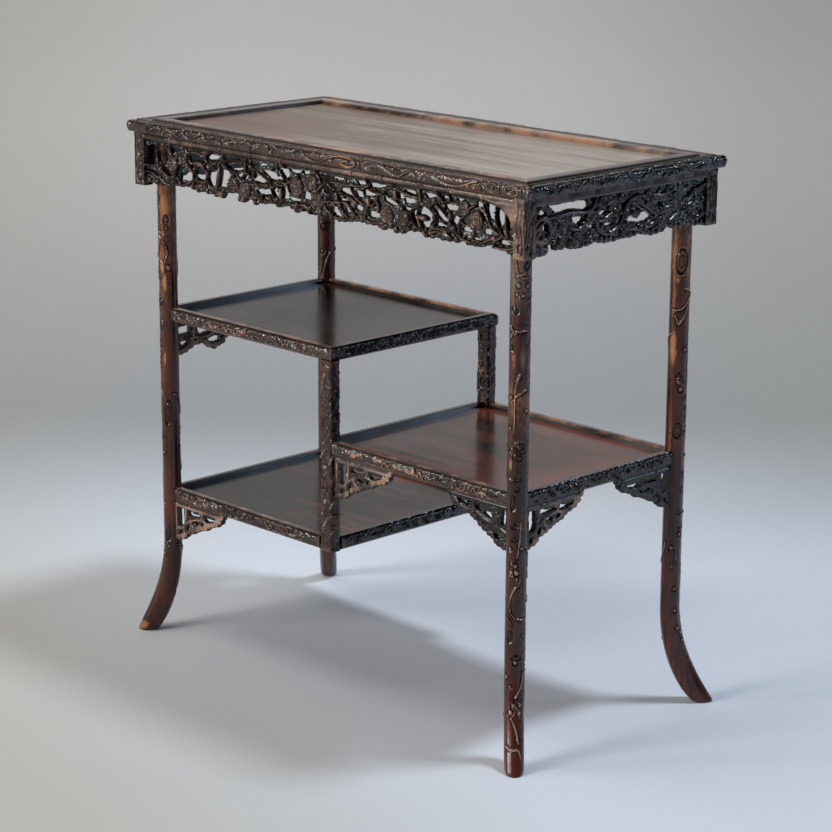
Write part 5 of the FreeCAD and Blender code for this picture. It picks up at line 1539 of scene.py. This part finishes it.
def legWear(shape, around, height):
    # rubbed towards the top and in patches, some of which are painted highlights, greyed where a patch is
    # below zero, gilt left on the toe
    rubbed = leg["fade"] * smooth(height, shape["pale"] - 60, shape["pale"] + 90)
    for u, v, wide, tall, strength in shape["worn"]:
        patch = np.exp(-((around - u) / wide) ** 2 - ((height - v) / tall) ** 2)
        faded = rubbed * (1 - patch) + strength * patch
        rubbed = np.maximum(rubbed, strength * patch) if strength > 0 else faded
    u, v, gilt = shape["toe"]
    reach = np.hypot(around - u, (height - v) * 1.4)
    return rubbed + gilt * (0.55 + 0.45 * np.cos(reach * 1.9)) * smooth(reach, 12, 8)


def legPiece(name):
    shape = legKinds[name]
    signX, signY = shape["signs"]
    relief, ground, radius = leg["relief"], leg["ground"], leg["radius"]

    def place(grid):
        height = leg["top"] * grid[:, 0]
        around = (grid[:, 1] - 0.5) * (2 * math.pi * radius)
        angle = around / radius - math.pi / 4
        solid = np.stack([radius * np.cos(angle), radius * np.sin(angle), height], axis=1)
        rise = legCarving(shape, around, height, solid)
        rise = np.where(height > leg["plainAbove"], ground, rise)
        proud = (rise - ground) * smooth(height, 0, 20)
        shift, along, across = legShape(height, shape["reach"])
        ahead = (np.cos(angle) * signX + np.sin(angle) * signY) / math.sqrt(2)
        aside = (np.sin(angle) * signX - np.cos(angle) * signY) / math.sqrt(2)
        ahead, aside = shift + (along + proud) * ahead, (across + proud) * aside
        x = signX * leg["x"] + (ahead * signX - aside * signY) / math.sqrt(2)
        y = signY * leg["y"] + (ahead * signY + aside * signX) / math.sqrt(2)
        looks = {"crest": np.clip(rise / relief, 0, 1), "rubbed": legWear(shape, around, height)}
        return np.stack([x, y, height], axis=1), looks

    piece = wrappedPiece("leg" + name[0].upper() + name[1:], leg["columns"], leg["rows"], place)
    words = ("front" if signY < 0 else "back") + "_" + ("left" if signX < 0 else "right")
    finishPiece(piece, "legWood", "leg_" + words)


def legs():
    for name in legKinds:
        legPiece(name)


# inner posts: square bars with rounded, carved faces

post = {
    "left": -19.5,
    "right": 8.5,
    "outer": 170.1,
    "inner": 149.6,
    "foot": 213.0,
    "top": 495.5,
    "corner": 5.5,
    "relief": 2.4,
    "grain": 1.05,
    "rows": 270,
    "faces": (0.14, 0.37, 0.64, 0.87),  # the middle of each face, as a share of the way round
    "gap": 17,
    "ends": (8, 0.7),
}


def postLoop(width, depth):
    # the rounded square section, how far round it each point is, and the way outwards there
    corner = post["corner"]
    arcs = []
    for cornerX, cornerY, first in ((1, 1, 0), (-1, 1, 90), (-1, -1, 180), (1, -1, 270)):
        for angle in np.radians(np.arange(first, first + 91, 22.5)):
            arcs.append((cornerX * (width / 2 - corner) + corner * math.cos(angle),
                         cornerY * (depth / 2 - corner) + corner * math.sin(angle)))
    loop, run = resampled(arcs + arcs[:1], post["grain"])
    slope = np.roll(loop[:-1], -1, axis=0) - np.roll(loop[:-1], 1, axis=0)
    slope = np.vstack([slope, slope[:1]])
    return loop, run, np.stack([slope[:, 1], -slope[:, 0]], axis=1) / np.hypot(*slope.T)[:, None]


def postPiece(name, node, signY, seed, gilding):
    loop, run, outward = postLoop(post["right"] - post["left"], post["outer"] - post["inner"])
    middleX, middleY = (post["left"] + post["right"]) / 2, signY * (post["inner"] + post["outer"]) / 2
    foot, top, relief = post["foot"], post["top"], post["relief"]
    rows = len(loop) - 1
    faces = [run[-1] * share for share in post["faces"]]
    endRun, endHeight = post["ends"]

    def carve(carving, solid):
        bark = lattice(solid, (6.0, 6.0, 11.0), seed) * 0.3 + lattice(solid, 3.0, seed + 1) * 0.2
        carving.height[:] = relief * (0.45 + bark)
        draws = np.random.default_rng(seed)
        for face in faces:
            for level in np.arange(foot + 24, top - 20, post["gap"]):
                spot = (face + draws.uniform(-5, 5), level + draws.uniform(-5, 5))
                kind = draws.integers(0, 4)
                if kind == 0:
                    carving.eye(spot, draws.uniform(4, 6), draws.uniform(3, 4.4), draws.uniform(0, 3),
                                relief * 0.95)
                elif kind == 1:
                    for shift in (-5, 0, 5):
                        carving.bud((spot[0] + shift * 0.6, spot[1] + shift), 2.0, relief, 2.4, 0.7)
                elif kind == 2:
                    line = curl((spot[0] - 6, spot[1] - 7), 1.0, 22, draws.uniform(-3, 3))
                    carving.stem(line, 2.6, relief, foot=0.4)
                else:
                    carving.bud(spot, 3.2, relief, 1.4, draws.uniform(0, 3))

    def place(grid):
        index = np.rint(grid[:, 1] * rows).astype(int) % rows
        height = foot + (top - foot) * grid[:, 0]
        carving = Carving(np.stack([run[index], height], axis=1), inside=1.0)
        carve(carving, np.stack([loop[index, 0], loop[index, 1], height], axis=1))
        rise = np.clip(carving.height, 0, relief)
        gilt = np.zeros(len(height))
        for stroke in gilding:
            away = lineDistance(carving.points, np.array(stroke, float) + (faces[2], 0))
            gilt = np.maximum(gilt, 1.4 * np.exp(-((away / 1.1) ** 4)))
        rise = np.where(gilt > 0.5, relief * 0.9, rise)
        free = smooth(height, foot, foot + endRun) * smooth(top - height, 0, endRun)
        rise = relief * endHeight + (rise - relief * endHeight) * free
        sunk = relief - rise
        places = np.stack([loop[index, 0] - sunk * outward[index, 0] + middleX,
                           middleY + loop[index, 1] - sunk * outward[index, 1], height], axis=1)
        return places, {"crest": rise / relief, "rubbed": gilt}

    finishPiece(wrappedPiece(name, post["rows"], rows, place), "postWood", node)


def posts():
    postPiece("postFront", "inner_post_front", -1, 95, [])
    # a gilded sprig of bamboo on the front of the back post
    sprig = [[(-5, 489), (0, 474)], [(-6, 481), (1, 485)], [(-8, 424), (8, 428)], [(-4, 441), (1, 430)],
             [(-6, 421), (-6, 394)], [(-4, 436), (4, 421)]]
    postPiece("postBack", "inner_post_back", 1, 99, sprig)


# what stays as the frame has it: panels, battens and pegs

def dressFrame():
    for node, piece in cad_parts.items():
        if node == "top_panel":
            finish = "topPanel"
        elif node.endswith("panel"):
            finish = "shelfPanel"
        elif "batten" in node:
            finish = "batten"
        elif node == "joint_pegs":
            finish = "peg"
        else:
            continue
        coatPiece(piece, finish)


longAprons()
print("long aprons carved")
shortAprons()
print("short aprons carved")
brackets()
print("brackets carved")
topRails()
shelfRails()
print("rails carved")
legs()
posts()
print("legs and posts carved")
dressFrame()


# camera, floor and light

camera = {
    "place": (2.5734, -2.5134, 1.3385),
    "yaw": 45.6057,
    "pitch": -14.8427,
    "roll": 0.3332,
    "lens": 109.55,
    "sensor": 36.0,
}


def makeCamera():
    yaw, pitch, roll = (math.radians(camera[key]) for key in ("yaw", "pitch", "roll"))
    forward = Vector((-math.sin(yaw) * math.cos(pitch), math.cos(yaw) * math.cos(pitch), math.sin(pitch)))
    right = Vector((math.cos(yaw), math.sin(yaw), 0))
    up = right.cross(forward)
    turnedRight = math.cos(roll) * right + math.sin(roll) * up
    turnedUp = math.cos(roll) * up - math.sin(roll) * right
    data = bpy.data.cameras.new("camera")
    data.lens = camera["lens"]
    data.sensor_width = camera["sensor"]
    data.clip_end = 50
    holder = bpy.data.objects.new("camera", data)
    axes = Matrix((turnedRight, turnedUp, -forward)).transposed()
    holder.matrix_world = Matrix.Translation(camera["place"]) @ axes.to_4x4()
    bpy.context.scene.collection.objects.link(holder)
    bpy.context.scene.camera = holder


studio = {
    # the floor colour holds a painted cool tint of the key light; the left, seam and edge colours are painted
    # shade
    "floorColour": paint(219, 227, 240),
    "leftShadeColour": paint(186, 184, 178),
    "seamShadeColour": paint(160, 163, 167),
    "wallColour": paint(202, 200, 199),
    "edgeShadeColour": paint(160, 158, 150),
    "worldColour": paint(230, 230, 230),
    "worldStrength": 0.04,
    "seam": 1500.0,
    "bend": 800.0,
}


def makeFloor():
    # a floor that curves up into a wall behind the piece, square to the camera, with painted shade to the
    # left, in the bend and at the far edges, and a painted cool tint of the key light on the floor
    yaw = math.radians(camera["yaw"])
    floor, share = gridPiece("backdrop", 2, 40)
    across = (share[:, 0] - 0.5) * 24000
    run = share[:, 1]
    bend, back = studio["bend"], studio["seam"]
    turn = np.clip((run - 0.5) / 0.3, 0, 1) * math.pi / 2
    rise = np.where(run > 0.5, bend * (1 - np.cos(turn)), 0) + np.clip((run - 0.8) / 0.2, 0, 1) * 3200
    away = np.where(run > 0.5, back + bend * np.sin(turn), np.interp(run, [0, 0.5], [-12000, back]))
    x = across * math.cos(yaw) - away * math.sin(yaw)
    y = across * math.sin(yaw) + away * math.cos(yaw)
    layOut(floor, np.stack([x, y, rise], axis=1))
    coat = Finish("backdropPaint")
    place = coat.node("ShaderNodeTexCoord", output=3)
    parts = [coat.node("ShaderNodeSeparateXYZ", {}, {"Vector": place}, axis) for axis in range(3)]
    far = parts[1] * math.cos(yaw) - parts[0] * math.sin(yaw)
    right = parts[0] * math.cos(yaw) + parts[1] * math.sin(yaw)
    spots = coat.noise(place, 3.0, 2.0)
    # painted shade: darker and warmer to the left, where the key light falls off
    colour = coat.mix(studio["leftShadeColour"], studio["floorColour"], coat.band(right + far * 0.5, -0.9, 0.1))
    # painted shade in the bend between floor and wall
    colour = coat.mix(colour, studio["seamShadeColour"], coat.band(far, 0.35, 1.55))
    colour = coat.mix(colour, studio["wallColour"], coat.band(parts[2], -0.1, 0.6))
    # painted shade towards the far edges
    aside = coat.node("ShaderNodeMath", {"operation": "ABSOLUTE"}, {0: right + 0.1})
    edgeShade = coat.band(aside, 0.25, 1.1) * coat.band(far, 0.3, 1.4) * 0.5
    colour = coat.mix(colour, studio["edgeShadeColour"], edgeShade)
    coat.close(Base_Color=colour, Roughness=0.75 + spots * 0.1, Specular_IOR_Level=0.2)
    coat.openBehind()
    floor.data.materials.append(coat.material)
    floor.data.shade_smooth()


lamps = [
    # name, place, what it looks at, size, watts, colour
    ("keyLamp", (1.75, 1.52, 6.5), (0, 0, 0.2), 1.1, 205, (0.84, 0.92, 1.0)),
    ("frontLamp", (-1.2, -4.2, 2.4), (0, 0, 0.5), 1.6, 96, (1.0, 0.94, 0.86)),
    ("topLamp", (-1.2, -1.0, 4.6), (0, 0, 0.3), 2.4, 52, (1.0, 0.95, 0.87)),
    ("leftLamp", (-2.2, -3.3, 0.9), (0, 0, 0.45), 0.8, 42, (1.0, 0.97, 0.93)),
    ("windowLamp", (2.8, 3.2, 1.6), (0, 0, 0.6), 1.0, 20, (0.55, 0.72, 1.0)),
]


def makeLight():
    for name, place, aim, size, watts, colour in lamps:
        data = bpy.data.lights.new(name, "AREA")
        data.shape = "DISK"
        data.size = size
        data.energy = watts
        data.color = colour
        lamp = bpy.data.objects.new(name, data)
        lamp.location = place
        lamp.rotation_euler = (Vector(aim) - Vector(place)).to_track_quat("-Z", "Y").to_euler()
        bpy.context.scene.collection.objects.link(lamp)
    world = bpy.data.worlds.new("studio")
    world.use_nodes = True
    air = world.node_tree.nodes["Background"]
    air.inputs["Color"].default_value = studio["worldColour"]
    air.inputs["Strength"].default_value = studio["worldStrength"]
    bpy.context.scene.world = world
    bpy.context.scene.view_settings.view_transform = "Standard"


makeCamera()
makeFloor()
makeLight()
print("camera, floor and light set")
